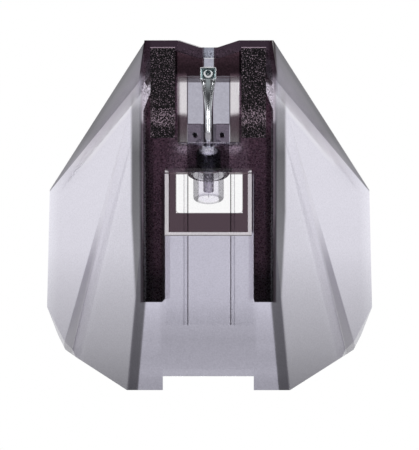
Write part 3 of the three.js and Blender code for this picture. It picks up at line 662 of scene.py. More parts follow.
def pads_tree():
    """Two slabs, one on each side, whose upper faces noise makes rough."""
    tree, start, end = new_tree("nose_pads", (
        ("Width", "Float"), ("Length", "Float"), ("Thickness", "Float"), ("Rough Height", "Float"),
        ("Grain Size", "Float"), ("Seed", "Float"), ("Centre", "Vector"), ("Material", "Material"),
    ))
    sizes = start.outputs
    slab = tree.nodes.new("GeometryNodeMeshCube")
    tree.links.new(
        vector_of(tree, sizes["Width"], sizes["Length"], sizes["Thickness"]), slab.inputs["Size"],
    )
    slab.inputs["Vertices X"].default_value = PAD_COLUMNS
    slab.inputs["Vertices Y"].default_value = PAD_ROWS
    centre = split_of(tree, sizes["Centre"])
    pair = tree.nodes.new("GeometryNodeJoinGeometry")
    for side in (-1.0, 1.0):
        placed = tree.nodes.new("GeometryNodeTransform")
        tree.links.new(slab.outputs["Mesh"], placed.inputs["Geometry"])
        tree.links.new(
            vector_of(tree, worked(tree, "MULTIPLY", centre["X"], side), centre["Y"], centre["Z"]),
            placed.inputs["Translation"],
        )
        tree.links.new(placed.outputs[0], pair.inputs[0])
    here = tree.nodes.new("GeometryNodeInputPosition").outputs[0]
    grain = tree.nodes.new("ShaderNodeTexNoise")
    grain.noise_dimensions = "4D"
    grain.inputs["Detail"].default_value = 1.0
    tree.links.new(here, grain.inputs["Vector"])
    tree.links.new(sizes["Seed"], grain.inputs["W"])
    tree.links.new(worked(tree, "DIVIDE", 1.0, sizes["Grain Size"]), grain.inputs["Scale"])
    above = worked(tree, "SUBTRACT", split_of(tree, here)["Z"], centre["Z"])
    rise = together(
        tree, sizes["Rough Height"], worked(tree, "GREATER_THAN", above, 0.0),
        worked(tree, "SUBTRACT", grain.outputs["Fac"], PAD_LEVEL_SHARE),
    )
    rough = tree.nodes.new("GeometryNodeSetPosition")
    tree.links.new(pair.outputs[0], rough.inputs["Geometry"])
    tree.links.new(vector_of(tree, None, None, rise), rough.inputs["Offset"])
    end_tree(tree, end, rough.outputs[0], sizes["Material"])
    return tree


# Painted glints: the pads are near black with pale specks where the speckle is high, a few more towards
# the lit end, and a painted highlight along the front end
pad_paint, tree, shader = new_paint("eroded_pad_painted_glints")
spot = places_in_mm(tree)
place = tree.nodes.new("ShaderNodeTexCoord").outputs["Object"]
speckle = noise_in(tree, place, 1 / PAD_SPECKLE, detail=2.0, roughness=0.65)
bright = worked(tree, "MULTIPLY_ADD", region(tree, spot, PAD_LIT_END), PAD_LIT_SHARE, speckle)
line_start = (PAD_CENTRE.y + PAD_LENGTH / 2) / MM - PAD_LINE
front_highlight = eased(tree, spot[ALONG], line_start, line_start + PAD_LINE_STEP)
shown = worked(
    tree, "MAXIMUM", eased(tree, bright, *PAD_GLINT_STEP),
    worked(tree, "MULTIPLY", front_highlight, PAD_LINE_SHARE),
)
tree.links.new(blended(tree, shown, PAD_DARK, PAD_GLINT), shader.inputs["Base Color"])
tree.links.new(
    worked(tree, "MULTIPLY_ADD", speckle, PAD_SWING, PAD_ROUGHNESS), shader.inputs["Roughness"],
)
shader.inputs["Specular IOR Level"].default_value = PAD_SPECULAR
pads = grown("nose_pads", pads_tree(), {
    "Width": PAD_WIDTH, "Length": PAD_LENGTH, "Thickness": PAD_THICKNESS,
    "Rough Height": PAD_ROUGH_HEIGHT, "Grain Size": PAD_GRAIN, "Seed": PAD_SEED,
    "Centre": PAD_CENTRE,
}, pad_paint)
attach(pads, "housing")


# Inner frame.
# The same smoked plastic, moulded as a thick nose block with two legs, so it looks nearly black,
# and painted shade darkens it further. The channel's floor and sides are thin and let the light of
# the table through. The painted shade spares them, a soft patch of painted light, the web and a
# ledge, and painted light lifts the block, the channel's front and the legs' inner halves.
FRAME_EDGE = 0.05 * MM
FRAME_GRAIN = 0.09 * MM
FRAME_SMOKE = (0.88, 0.84, 0.86, 1)
FRAME_DENSITY = 1000
FRAME_IOR = 1.002
FRAME_COAT = 0.4
FRAME_CLEAR = (0.97, 0.96, 0.98, 1)
FRAME_DARK = (0.2, 0.145, 0.17, 1)
DARK_TONES = (
    (-4.7, 0.2), (-3.6, 0.2), (-2.6, 0.8), (0.0, 1.0), (6.8, 1.0), (7.0, 0.25), (7.9, 0.25),
    (8.1, 0.6), (9.3, 0.6),
)
CHANNEL = ((ACROSS, 1.14, 1.1), (ALONG, 3.5, 3.56), (ALONG, 6.99, 6.95))
FLOOR_SHADE = (0.54, 0.55, 0.62, 1)
CHANNEL_FRONT, CHANNEL_FRONT_LIGHT = ((ALONG, 6.73, 6.77),), 1.7
CHANNEL_LINE = ((ACROSS, 1.07, 1.09), (ACROSS, 1.15, 1.13), (ALONG, 4.4, 4.6), (ALONG, 7.0, 6.95))
CHANNEL_LINE_SHADE = (0.22, 0.2, 0.22, 1)
STRIP = ((ACROSS, 1.1, 1.14), (ACROSS, 1.68, 1.62), (ALONG, 4.85, 5.2), (ALONG, 7.2, 6.9))
BEHIND_STRIP = ((ACROSS, 1.1, 1.14), (ACROSS, 1.74, 1.66), (ALONG, 3.5, 3.56), (ALONG, 5.2, 4.85))
BEHIND_STRIP_SHADE = 0.5
PATCH_ACROSS, PATCH_ALONG, PATCH_STEP = 1.3, 3.5, (0.62, 0.15)
UNDER_PLATE, PATCH_UNDER_PLATE, PATCH_IN_OPEN = ((ALONG, 3.56, 3.5),), 0.87, 0.1
FRAME_WEB, FRAME_WEB_TONE = WEB + ((ALONG, 6.9, 7.0),), (0.5, 0.52, 0.6, 1)
LEDGE = ((ACROSS, 2.42, 2.37), (HEIGHT, 1.4, 1.2), (ALONG, 2.05, 1.95))
BLOCK, BLOCK_LIGHT = ((ALONG, 0.5, 2.4),), 1.5
LEG_OUTER, LEG_OUTER_SHADE = ((ALONG, 4.6, 3.8), (ACROSS, 2.98, 3.08)), 0.3
LEG_INNER, LEG_INNER_LIGHT = ((ALONG, 4.6, 3.8), (ACROSS, 2.2, 2.0)), (1.4, 1.6, 1.5, 1)
LIGHT_MOTTLE, DARK_MOTTLE = 0.25, 0.75
INNER_WALL = ((ACROSS, 2.44, 2.4), (ALONG, 2.0, 1.9), (HEIGHT, 1.25, 1.4))
INNER_WALL_SHADE = (0.3, 0.26, 0.28, 1)
block_paint, tree, shader, texture = clear_bodied(
    "smoked_block", FRAME_SMOKE, FRAME_DENSITY, FRAME_IOR, FRAME_GRAIN,
    roughness=0.3, swing=0.1, bump=0.3,
)
spot = across, along, height = places_in_mm(tree)
in_channel = region(tree, spot, CHANNEL)
in_web = region(tree, spot, FRAME_WEB)
# A soft patch of painted light, where light leaks up from the pocket below
off_patch = worked(
    tree, "SQRT", worked(
        tree, "ADD", worked(tree, "POWER", worked(tree, "SUBTRACT", across, PATCH_ACROSS), 2.0),
        worked(tree, "POWER", worked(tree, "SUBTRACT", along, PATCH_ALONG), 2.0),
    ),
)
in_light_patch = together(
    tree, eased(tree, off_patch, *PATCH_STEP),
    worked(tree, "MULTIPLY_ADD", region(tree, spot, UNDER_PLATE), PATCH_UNDER_PLATE, PATCH_IN_OPEN),
)
light_parts = together(
    tree, in_channel, region(tree, spot, STRIP), in_light_patch, in_web, region(tree, spot, LEDGE),
    operation="MAXIMUM",
)
# Painted shade on all other parts, deepest at the rear and in the nose, with painted light over the block
dark_parts = outside(tree, light_parts)
tone = multiplied_where(tree, FRAME_CLEAR, dark_parts, FRAME_DARK)
tone = multiplied_where(tree, tone, dark_parts, tone_along(tree, along, DARK_TONES))
tone = multiplied_where(tree, tone, together(tree, dark_parts, region(tree, spot, BLOCK)), BLOCK_LIGHT)
# Painted shade behind the strips, on the channel's floor and along its sides, painted light at the
# channel's front, and the web lighter than the nose round it
tone = multiplied_where(tree, tone, region(tree, spot, BEHIND_STRIP), BEHIND_STRIP_SHADE)
tone = multiplied_where(tree, tone, in_channel, FLOOR_SHADE)
tone = multiplied_where(
    tree, tone, together(tree, in_channel, region(tree, spot, CHANNEL_FRONT)), CHANNEL_FRONT_LIGHT,
)
tone = multiplied_where(tree, tone, in_web, FRAME_WEB_TONE)
tone = multiplied_where(tree, tone, region(tree, spot, CHANNEL_LINE), CHANNEL_LINE_SHADE)
# Painted shade on the legs' outer halves and on the inner wall by the guide, painted light on the legs'
# inner halves
tone = multiplied_where(tree, tone, region(tree, spot, LEG_OUTER), LEG_OUTER_SHADE)
tone = multiplied_where(tree, tone, together(tree, region(tree, spot, LEG_INNER), dark_parts), LEG_INNER_LIGHT)
on_inner_wall = region(tree, spot, INNER_WALL)
tone = multiplied_where(tree, tone, on_inner_wall, INNER_WALL_SHADE)
share = worked(tree, "MULTIPLY_ADD", dark_parts, DARK_MOTTLE - LIGHT_MOTTLE, LIGHT_MOTTLE)
tree.links.new(mottled(tree, tone, texture, share), shader.inputs["Base Color"])
weight = worked(tree, "MULTIPLY_ADD", on_inner_wall, -FRAME_COAT, FRAME_COAT)
coated(shader, weight, roughness=0.3)
block = moulding("inner_frame", "frame_moulding", FRAME_EDGE)
block.data.materials.append(block_paint)
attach(block, "housing")
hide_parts("inner_frame")


# Guide plate.
# A clear moulded floor that slides in between the legs: a thin pane inside a thick border whose
# smoke looks brown, and two rails along its whole length.
GUIDE_HALF_WIDTH = 2.36
GUIDE_FRONT, GUIDE_REAR = 2.01, -6.1
GUIDE_LOW, GUIDE_FLOOR, GUIDE_TOP = 1.2, 1.35, 2.0
BORDER_REAR = -1.12
PANE_HALF_WIDTH, PANE_REAR, PANE_CORNER, PANE_CORNER_STEPS = 1.8, -0.09, 0.24, 5
RAIL_OFFSET, RAIL_WIDTH, RAIL_HEIGHT, RAIL_CORNER, RAIL_LIFT = 1.25, 0.25, 0.3, 0.04, 0.005
RAIL_HALF_WIDTH, RAIL_CORNER_STEPS = RAIL_WIDTH / 2, 3
GUIDE_EDGE = 0.04 * MM
GUIDE_SHARP = 25                    # degrees between faces that meet in an edge
GUIDE_GRAIN = 0.12 * MM
GUIDE_SMOKE, GUIDE_DENSITY, GUIDE_IOR = (0.9, 0.88, 0.9, 1), 100, 1.06
GUIDE_CLEAR = (0.99, 0.99, 0.995, 1)
GUIDE_MOTTLE = 0.04
BORDER_BROWN = (0.085, 0.059, 0.073, 1)
PANE_STEP, BORDER_STEP = 0.03, 0.02
RAIL_INNER_STEP = (0.07 - RAIL_HALF_WIDTH, 0.04 - RAIL_HALF_WIDTH)
RAIL_OUTER_STEP = (RAIL_HALF_WIDTH - 0.04, RAIL_HALF_WIDTH - 0.02)
RAIL_INNER_TONE, RAIL_OUTER_TONE = (0.12, 0.11, 0.12, 1), (0.3, 0.28, 0.31, 1)


def guide_paint(name, rails):
    """Clear plastic with a brown border, and dark lines where the rails' sides turn light away."""
    material, tree, shader, texture = clear_bodied(
        name, GUIDE_SMOKE, GUIDE_DENSITY, GUIDE_IOR, GUIDE_GRAIN,
        roughness=0.12, swing=0.06, bump=0.1,
    )
    spot = places_in_mm(tree)
    tone = GUIDE_CLEAR
    if rails:
        off_rail = worked(tree, "SUBTRACT", spot[ACROSS], RAIL_OFFSET)
        tone = multiplied_where(tree, tone, eased(tree, off_rail, *RAIL_INNER_STEP), RAIL_INNER_TONE)
        tone = multiplied_where(tree, tone, eased(tree, off_rail, *RAIL_OUTER_STEP), RAIL_OUTER_TONE)
    else:
        in_pane = region(tree, spot, (
            (ACROSS, PANE_HALF_WIDTH, PANE_HALF_WIDTH - PANE_STEP),
            (ALONG, PANE_REAR, PANE_REAR + PANE_STEP),
        ))
        past_rear = eased(tree, spot[ALONG], BORDER_REAR - BORDER_STEP, BORDER_REAR + BORDER_STEP)
        in_border = together(tree, past_rear, outside(tree, in_pane))
        tone = multiplied_where(tree, tone, in_border, BORDER_BROWN)
    tree.links.new(mottled(tree, tone, texture, GUIDE_MOTTLE), shader.inputs["Base Color"])
    coated(shader, 0.4, roughness=0.1)
    return material


def guide_mesh():
    """The pane and border in one closed skin, with the pane's rear corners rounded."""
    shape = bmesh.new()
    corners = [(-PANE_HALF_WIDTH, GUIDE_FRONT), (-PANE_HALF_WIDTH, PANE_REAR + PANE_CORNER)]
    for step in range(1, PANE_CORNER_STEPS + 1):
        turn = math.radians(90 * step / PANE_CORNER_STEPS)
        corners.append((
            -PANE_HALF_WIDTH + PANE_CORNER * (1 - math.cos(turn)),
            PANE_REAR + PANE_CORNER * (1 - math.sin(turn)),
        ))
    pane = corners + [(-x, y) for x, y in reversed(corners)]
    border = [
        (side * GUIDE_HALF_WIDTH, end)
        for side, end in ((1, GUIDE_FRONT), (1, BORDER_REAR), (-1, BORDER_REAR), (-1, GUIDE_FRONT))
    ]
    floor = [(-GUIDE_HALF_WIDTH, GUIDE_REAR), (GUIDE_HALF_WIDTH, GUIDE_REAR)]

    def ring(points, level):
        return [shape.verts.new((x * MM, y * MM, level * MM)) for x, y in points]

    pane_low, pane_high = ring(pane, GUIDE_FLOOR), ring(pane, GUIDE_TOP)
    border_high, border_low = ring(border, GUIDE_TOP), ring(border, GUIDE_FLOOR)
    rear_high, rear_low = ring(floor, GUIDE_FLOOR), ring(floor, GUIDE_LOW)
    front_low = ring((border[3], border[0]), GUIDE_LOW)
    shape.faces.new(pane_low)
    for low, high in ((pane_low, pane_high), (border_low, border_high)):
        for first in range(len(low) - 1):
            shape.faces.new((low[first], low[first + 1], high[first + 1], high[first]))
    shape.faces.new(pane_high + border_high)
    shape.faces.new((border_low[1], rear_high[1], rear_high[0], border_low[2]))
    shape.faces.new((rear_high[1], rear_low[1], rear_low[0], rear_high[0]))
    shape.faces.new((border_low[0], border_low[1], rear_high[1], rear_low[1], front_low[1]))
    shape.faces.new((border_low[3], border_low[2], rear_high[0], rear_low[0], front_low[0]))
    shape.faces.new((front_low[0], front_low[1], rear_low[1], rear_low[0]))
    shape.faces.new((
        border_high[3], pane_high[0], pane_low[0], pane_low[-1], pane_high[-1], border_high[0],
        border_low[0], front_low[1], front_low[0], border_low[3],
    ))
    bmesh.ops.recalc_face_normals(shape, faces=shape.faces)
    return softened(shape, "guide_moulding", GUIDE_SHARP)


def softened(shape, name, sharp):
    """The finished mesh, smooth but for edges sharper than this angle."""
    for side in shape.edges:
        side.smooth = side.calc_face_angle(0) < math.radians(sharp)
    for face in shape.faces:
        face.smooth = True
    mesh = bpy.data.meshes.new(name)
    shape.to_mesh(mesh)
    shape.free()
    return mesh


def break_edges(piece, edge, sharp):
    """A small bevel on the edges sharper than this angle."""
    bevel = piece.modifiers.new("broken_edges", "BEVEL")
    bevel.width = edge
    bevel.segments = FINE_EDGE_STEPS
    bevel.limit_method = "ANGLE"
    bevel.angle_limit = math.radians(sharp)
    bevel.harden_normals = True


guide = bpy.data.objects.new("guide_moulding", guide_mesh())
scene.collection.objects.link(guide)
guide.data.materials.append(guide_paint("smoked_clear", False))
break_edges(guide, GUIDE_EDGE, GUIDE_SHARP)
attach(guide, "housing")
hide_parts("guide_plate")


def side_pair(tree, instance, offset, along_y, level):
    """The same piece at this offset to both sides of the middle plane."""
    points = tree.nodes.new("GeometryNodeMeshLine")
    points.inputs["Count"].default_value = 2
    tree.links.new(
        vector_of(tree, worked(tree, "MULTIPLY", offset, -1.0), along_y, level),
        points.inputs["Start Location"],
    )
    tree.links.new(vector_of(tree, worked(tree, "MULTIPLY", offset, 2.0)), points.inputs["Offset"])
    pair = tree.nodes.new("GeometryNodeInstanceOnPoints")
    tree.links.new(points.outputs[0], pair.inputs["Points"])
    tree.links.new(instance, pair.inputs["Instance"])
    return pair.outputs[0]


def rails_tree():
    """Two bars with rounded edges, swept backwards from the front of the plate."""
    tree, start, end = new_tree("guide_rails", (
        ("Offset", "Float"), ("Length", "Float"), ("Width", "Float"), ("Height", "Float"),
        ("Corner", "Float"), ("Front", "Vector"), ("Material", "Material"),
    ))
    sizes = start.outputs
    path = tree.nodes.new("GeometryNodeCurvePrimitiveLine")
    backwards = worked(tree, "MULTIPLY", sizes["Length"], -1.0)
    tree.links.new(vector_of(tree, None, backwards, None), path.inputs["End"])
    profile = tree.nodes.new("GeometryNodeCurvePrimitiveQuadrilateral")
    tree.links.new(sizes["Width"], profile.inputs["Width"])
    tree.links.new(sizes["Height"], profile.inputs["Height"])
    rounded = tree.nodes.new("GeometryNodeFilletCurve")
    rounded.mode = "POLY"
    tree.links.new(profile.outputs[0], rounded.inputs["Curve"])
    rounded.inputs["Count"].default_value = RAIL_CORNER_STEPS
    tree.links.new(sizes["Corner"], rounded.inputs["Radius"])
    bar = tree.nodes.new("GeometryNodeCurveToMesh")
    tree.links.new(path.outputs[0], bar.inputs["Curve"])
    tree.links.new(rounded.outputs[0], bar.inputs["Profile Curve"])
    bar.inputs["Fill Caps"].default_value = True
    front = split_of(tree, sizes["Front"])
    pair = side_pair(tree, bar.outputs[0], sizes["Offset"], front["Y"], front["Z"])
    end_tree(tree, end, pair, sizes["Material"])
    return tree


rails = grown("guide_rails", rails_tree(), {
    "Offset": RAIL_OFFSET * MM, "Length": (GUIDE_FRONT - GUIDE_REAR) * MM, "Width": RAIL_WIDTH * MM,
    "Height": RAIL_HEIGHT * MM, "Corner": RAIL_CORNER * MM,
    "Front": Vector((0, GUIDE_FRONT, GUIDE_FLOOR + RAIL_HEIGHT / 2 + RAIL_LIFT)) * MM,
}, guide_paint("rail_clear", True))
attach(rails, "housing")
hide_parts("guide_plate")


# Carrier block and its two pins.
# A small smoked block pressed into the channel, bored for the bearing, with a slotted foot that is
# pinned to the channel's floor by two blued steel pins.
CARRIER_EDGE = 0.04 * MM
CARRIER_BEVEL, FRONT_REACH = 0.08 * MM, 0.01 * MM
CARRIER_GRAIN = 0.1 * MM
CARRIER_SMOKE, CARRIER_DENSITY, CARRIER_IOR = (0.5, 0.4, 0.46, 1), 1000, 1.03
CARRIER_BASE = (0.76, 0.76, 0.79, 1)
CARRIER_MOTTLE = 0.15
OVER_COLLAR = ((ACROSS, 0.66, 0.5), (ALONG, 2.9, 3.05), (ALONG, 3.56, 3.5))
FOOT_SLOT = ((ACROSS, 0.42, 0.36), (ALONG, 3.5, 3.6))
FOOT_SLOT_SHADE_TONES = ((0.0, 1.0), (0.08, 0.95), (0.14, 0.55), (0.4, 0.5))
carrier_paint, tree, shader, texture = clear_bodied(
    "carrier_smoke_painted_shade_and_light", CARRIER_SMOKE, CARRIER_DENSITY, CARRIER_IOR, CARRIER_GRAIN,
    roughness=0.2, swing=0.1, bump=0.2,
)
spot = places_in_mm(tree)
# Painted light leaves the carrier clearer over the collar, and painted shade darkens the sides of the
# foot's slot
tone = multiplied_where(tree, WHITE, outside(tree, region(tree, spot, OVER_COLLAR)), CARRIER_BASE)
tone = multiplied_where(
    tree, tone, region(tree, spot, FOOT_SLOT), tone_along(tree, spot[ACROSS], FOOT_SLOT_SHADE_TONES),
)
tree.links.new(mottled(tree, tone, texture, CARRIER_MOTTLE), shader.inputs["Base Color"])
coated(shader, 0.5, roughness=0.2)
carrier = moulding("carrier_block", "carrier_moulding", CARRIER_EDGE)
carrier.data.materials.append(carrier_paint)
carrier.data.materials.append(edge_highlight_paint)
# The front edges at the slot's end are bevelled in that pale paint of painted highlight
shape = bmesh.new()
shape.from_mesh(carrier.data)
front_edges = [
    side for side in shape.edges
    if all(abs(end.co.y - SLOT_END) < FRONT_REACH and end.co.z > UPPER_FACES for end in side.verts)
]
bmesh.ops.bevel(
    shape, geom=front_edges, offset=CARRIER_BEVEL, segments=FINE_EDGE_STEPS, affect="EDGES",
    profile=0.5, material=1,
)
shape.to_mesh(carrier.data)
shape.free()
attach(carrier, "housing")
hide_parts("carrier_block")

PIN_RADIUS = 0.12 * MM
PIN_OFFSET = 0.7 * MM
PIN_PLACE = Vector((0, 3.95, 5.8)) * MM
PIN_TOP = 7.67 * MM
PIN_CHAMFER = 0.03 * MM
PIN_SIDES, PIN_RINGS = 32, 6
BLUED, BLUED_LINES = (0.05, 0.045, 0.055, 1), (0.5, 0.5, 0.55, 1)
# The cantilever line rises at this angle through the pivot. Grain is in lines for each metre.
LINE_TILT = math.radians(22)
PIVOT = Vector((0, 2.73, 7.2475)) * MM
ON_LINE = Matrix.Translation(PIVOT) @ Matrix.Rotation(LINE_TILT, 4, "X")
GROUND_GRAIN = Vector((9000, 9000, 9000))
TURNED_GRAIN = Vector((1500, 30000, 1500))
DRAWN_GRAIN = Vector((30000, 1200, 30000))
STAIN_SIZE, STAIN_SHARE = 0.3 * MM, 0.4
LINE_STEP, STAIN_STEP = (0.35, 0.65), (0.4, 0.7)
METAL_RELIEF = 0.005 * MM


def metal_grain_group():
    """Fine lines and faint stains on worked metal. Grain gives the lines for each metre, by axis."""
    group = bpy.data.node_groups.new("metal_grain", "ShaderNodeTree")
    group.interface.new_socket("Grain", in_out="INPUT", socket_type="NodeSocketVector")
    for name in ("Lines", "Stains"):
        group.interface.new_socket(name, in_out="OUTPUT", socket_type="NodeSocketFloat")
    start = group.nodes.new("NodeGroupInput")
    end = group.nodes.new("NodeGroupOutput")
    place = group.nodes.new("ShaderNodeTexCoord").outputs["Object"]
    turned = group.nodes.new("ShaderNodeMapping")
    turned.inputs["Rotation"].default_value = (-LINE_TILT, 0, 0)
    group.links.new(place, turned.inputs["Vector"])
    spread = group.nodes.new("ShaderNodeVectorMath")
    spread.operation = "MULTIPLY"
    group.links.new(turned.outputs[0], spread.inputs[0])
    group.links.new(start.outputs["Grain"], spread.inputs[1])
    lines = noise_in(group, spread.outputs[0], 1.0, detail=2.0)
    group.links.new(eased(group, lines, *LINE_STEP), end.inputs["Lines"])
    stains = noise_in(group, place, 1 / STAIN_SIZE, detail=3.0)
    group.links.new(eased(group, stains, *STAIN_STEP), end.inputs["Stains"])
    return group


metal_grain = metal_grain_group()


def worked_metal(name, color, line_tone, grain, roughness, metallic):
    """Metal with fine lines, faint stains and a roughness that follows them."""
    material, tree, shader = new_paint(name)
    shader.inputs["Metallic"].default_value = metallic
    texture = tree.nodes.new("ShaderNodeGroup")
    texture.node_tree = metal_grain
    texture.inputs["Grain"].default_value = grain
    lines, stains = texture.outputs["Lines"], texture.outputs["Stains"]
    tone = multiplied_where(tree, color, lines, line_tone)
    tone = multiplied_where(tree, tone, worked(tree, "MULTIPLY", stains, STAIN_SHARE), line_tone)
    tree.links.new(tone, shader.inputs["Base Color"])
    tree.links.new(
        worked(tree, "MULTIPLY_ADD", lines, roughness / 2, roughness), shader.inputs["Roughness"],
    )
    in_relief(tree, shader, lines, METAL_RELIEF, strength=0.15)
    return material, tree, shader, tone


def pins_tree():
    """Two upright pins with chamfered ends."""
    tree, start, end = new_tree("carrier_pins", (
        ("Radius", "Float"), ("Length", "Float"), ("Chamfer", "Float"), ("Offset", "Float"),
        ("Foot", "Vector"), ("Material", "Material"),
    ))
    sizes = start.outputs
    shank = tree.nodes.new("GeometryNodeMeshCylinder")
    shank.inputs["Vertices"].default_value = PIN_SIDES
    shank.inputs["Side Segments"].default_value = PIN_RINGS
    tree.links.new(sizes["Radius"], shank.inputs["Radius"])
    tree.links.new(sizes["Length"], shank.inputs["Depth"])
    here = tree.nodes.new("GeometryNodeInputPosition")
    parts = split_of(tree, here.outputs[0])
    half = worked(tree, "MULTIPLY", sizes["Length"], 0.5)
    past_end = worked(tree, "SUBTRACT", worked(tree, "ABSOLUTE", parts["Z"]), half)
    at_end = worked(tree, "GREATER_THAN", worked(tree, "ADD", past_end, sizes["Chamfer"]), 0.0)
    share = worked(tree, "DIVIDE", sizes["Chamfer"], sizes["Radius"])
    drawn_in = outside(tree, worked(tree, "MULTIPLY", at_end, share))
    placed = tree.nodes.new("GeometryNodeSetPosition")
    tree.links.new(shank.outputs["Mesh"], placed.inputs["Geometry"])
    tree.links.new(
        vector_of(
            tree, worked(tree, "MULTIPLY", parts["X"], drawn_in),
            worked(tree, "MULTIPLY", parts["Y"], drawn_in), parts["Z"],
        ),
        placed.inputs["Position"],
    )
    foot = split_of(tree, sizes["Foot"])
    pair = side_pair(
        tree, placed.outputs[0], sizes["Offset"], foot["Y"], worked(tree, "ADD", foot["Z"], half),
    )
    end_tree(tree, end, pair, sizes["Material"])
    return tree


blued_steel, tree, shader, tone = worked_metal(
    "blued_steel", BLUED, BLUED_LINES, GROUND_GRAIN, roughness=0.35, metallic=1.0,
)
pins = grown("carrier_pins", pins_tree(), {
    "Radius": PIN_RADIUS, "Length": PIN_TOP - PIN_PLACE.z, "Chamfer": PIN_CHAMFER,
    "Offset": PIN_OFFSET, "Foot": PIN_PLACE,
}, blued_steel)
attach(pins, "housing")
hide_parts("carrier_pin_left", "carrier_pin_right")


# Plug tube.
# The clear flanged tube behind the carrier that keeps the coil block off the magnet. Turned to a
# rounded flange and mouth, and polished inside and out.
PLUG_GRAIN = 0.2 * MM
PLUG_SMOKE, PLUG_DENSITY, PLUG_IOR = (0.8, 0.78, 0.82, 1), 300, 1.012
PLUG_BASE, PLUG_MOTTLE = (0.95, 0.94, 0.98, 1), 0.08
PLUG_BORE, PLUG_RADIUS, PLUG_FLANGE = 0.545, 0.79, 1.09
PLUG_FRONT, PLUG_FLANGE_REAR, PLUG_REAR = -0.64, -0.94, -2.27
PLUG_ROUND, FLANGE_ROUND, FLANGE_ROUND_PLACE = 0.11, 0.1, -0.8
PLUG_EDGE = 0.02 * MM
TUBE_WALL_SHADE_TONES = ((0.0, 1.0), (0.5, 1.0), (0.57, 0.5), (0.7, 0.53), (0.8, 0.36))
FLANGE_SHADE_TONES = ((0.0, 0.45), (0.45, 0.45), (0.65, 0.95), (1.2, 0.95))
# Places along the tube in the paint are the place along the object plus the height times the
# tilt, which is the same all over a plane square to the tube
MOUTH_START, MOUTH_END, TUBE_MOUTH_SHADE = (3.18, 3.2), (3.24, 3.22), 0.5
FLANGE_STEP = (4.58, 4.64)
FINE_SIDES, ROUND_SIDES, LARGE_SIDES = 48, 64, 96
TURNED_SHARP = 28
TURNED_MERGE_GAP = 0.0001 * MM


def turned_piece(name, profile, sides, place=ON_LINE):
    """A lathe-turned piece about the place's Y axis, from pairs of radius and place along it."""
    shape = bmesh.new()
    rings = []
    for radius, along_axis in profile:
        ring = []
        for step in range(sides):
            turn = math.tau * step / sides
            point = Vector((radius * math.cos(turn), along_axis, radius * math.sin(turn))) * MM
            ring.append(shape.verts.new(place @ point))
        rings.append(ring)
    for first, second in zip(rings, rings[1:] + rings[:1]):
        for step in range(sides):
            after = (step + 1) % sides
            shape.faces.new((first[step], first[after], second[after], second[step]))
    bmesh.ops.remove_doubles(shape, verts=shape.verts, dist=TURNED_MERGE_GAP)
    bmesh.ops.recalc_face_normals(shape, faces=shape.faces)
    piece = bpy.data.objects.new(name, softened(shape, name, TURNED_SHARP))
    scene.collection.objects.link(piece)
    return piece


def arc(centre, radius, start_deg, end_deg, steps):
    """Points of a rounded corner in a profile, from one direction to another."""
    points = []
    for step in range(steps + 1):
        turn = math.radians(start_deg + (end_deg - start_deg) * step / steps)
        points.append((centre[0] + radius * math.cos(turn), centre[1] + radius * math.sin(turn)))
    return points


plug_paint, tree, shader, texture = clear_bodied(
    "clear_plastic", PLUG_SMOKE, PLUG_DENSITY, PLUG_IOR, PLUG_GRAIN,
    roughness=0.24, swing=0.06, bump=0.03,
)
across, along, height = places_in_mm(tree)
tone = mottled(tree, PLUG_BASE, texture, PLUG_MOTTLE)
# Painted shade: the tube's wall darker towards its edges, a dark ring at the mouth and the flange darker
# across its middle
tone = multiplied_where(tree, tone, 1.0, tone_along(tree, across, TUBE_WALL_SHADE_TONES))
line_place = worked(tree, "MULTIPLY_ADD", height, math.tan(LINE_TILT), along)
at_mouth = together(
    tree, eased(tree, line_place, *MOUTH_START), eased(tree, line_place, *MOUTH_END),
)
tone = multiplied_where(tree, tone, at_mouth, TUBE_MOUTH_SHADE)
on_flange = eased(tree, line_place, *FLANGE_STEP)
tone = multiplied_where(tree, tone, on_flange, tone_along(tree, across, FLANGE_SHADE_TONES))
tree.links.new(tone, shader.inputs["Base Color"])
plug = turned_piece("plug_turning", (
    [(PLUG_BORE, PLUG_REAR)]
    + arc((PLUG_RADIUS - PLUG_ROUND, PLUG_REAR + PLUG_ROUND), PLUG_ROUND, 270, 360, 5)
    + [(PLUG_RADIUS, PLUG_FLANGE_REAR)]
    + arc((PLUG_FLANGE - FLANGE_ROUND, FLANGE_ROUND_PLACE), FLANGE_ROUND, 270, 360, 4)
    + [(PLUG_FLANGE, PLUG_FRONT), (PLUG_BORE, PLUG_FRONT)]
), LARGE_SIDES)
break_edges(plug, PLUG_EDGE, TURNED_SHARP)
plug.data.materials.append(plug_paint)
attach(plug, "housing")
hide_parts("plug_tube")


# Wire anchor.
# A clear washer in the rear of the plug tube. The tie wire ends in its hole.
ANCHOR_PROFILE = (
    (0.33, -2.23), (0.515, -2.23), (0.525, -2.2), (0.525, -2.1), (0.515, -2.07), (0.33, -2.07),
    (0.32, -2.1), (0.32, -2.2),
)
ANCHOR_BASE, ANCHOR_DENSITY, ANCHOR_IOR = (0.98, 0.97, 1, 1), 200, 1.01
ANCHOR_MOTTLE = 0.05
anchor = turned_piece("anchor_washer", ANCHOR_PROFILE, ROUND_SIDES)
anchor_paint, tree, shader, texture = clear_bodied(
    "anchor_clear", PLUG_SMOKE, ANCHOR_DENSITY, ANCHOR_IOR, PLUG_GRAIN,
    roughness=0.08, swing=0.04, bump=0.05,
)
tree.links.new(mottled(tree, ANCHOR_BASE, texture, ANCHOR_MOTTLE), shader.inputs["Base Color"])
anchor.data.materials.append(anchor_paint)
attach(anchor, "housing")
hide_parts("wire_anchor")


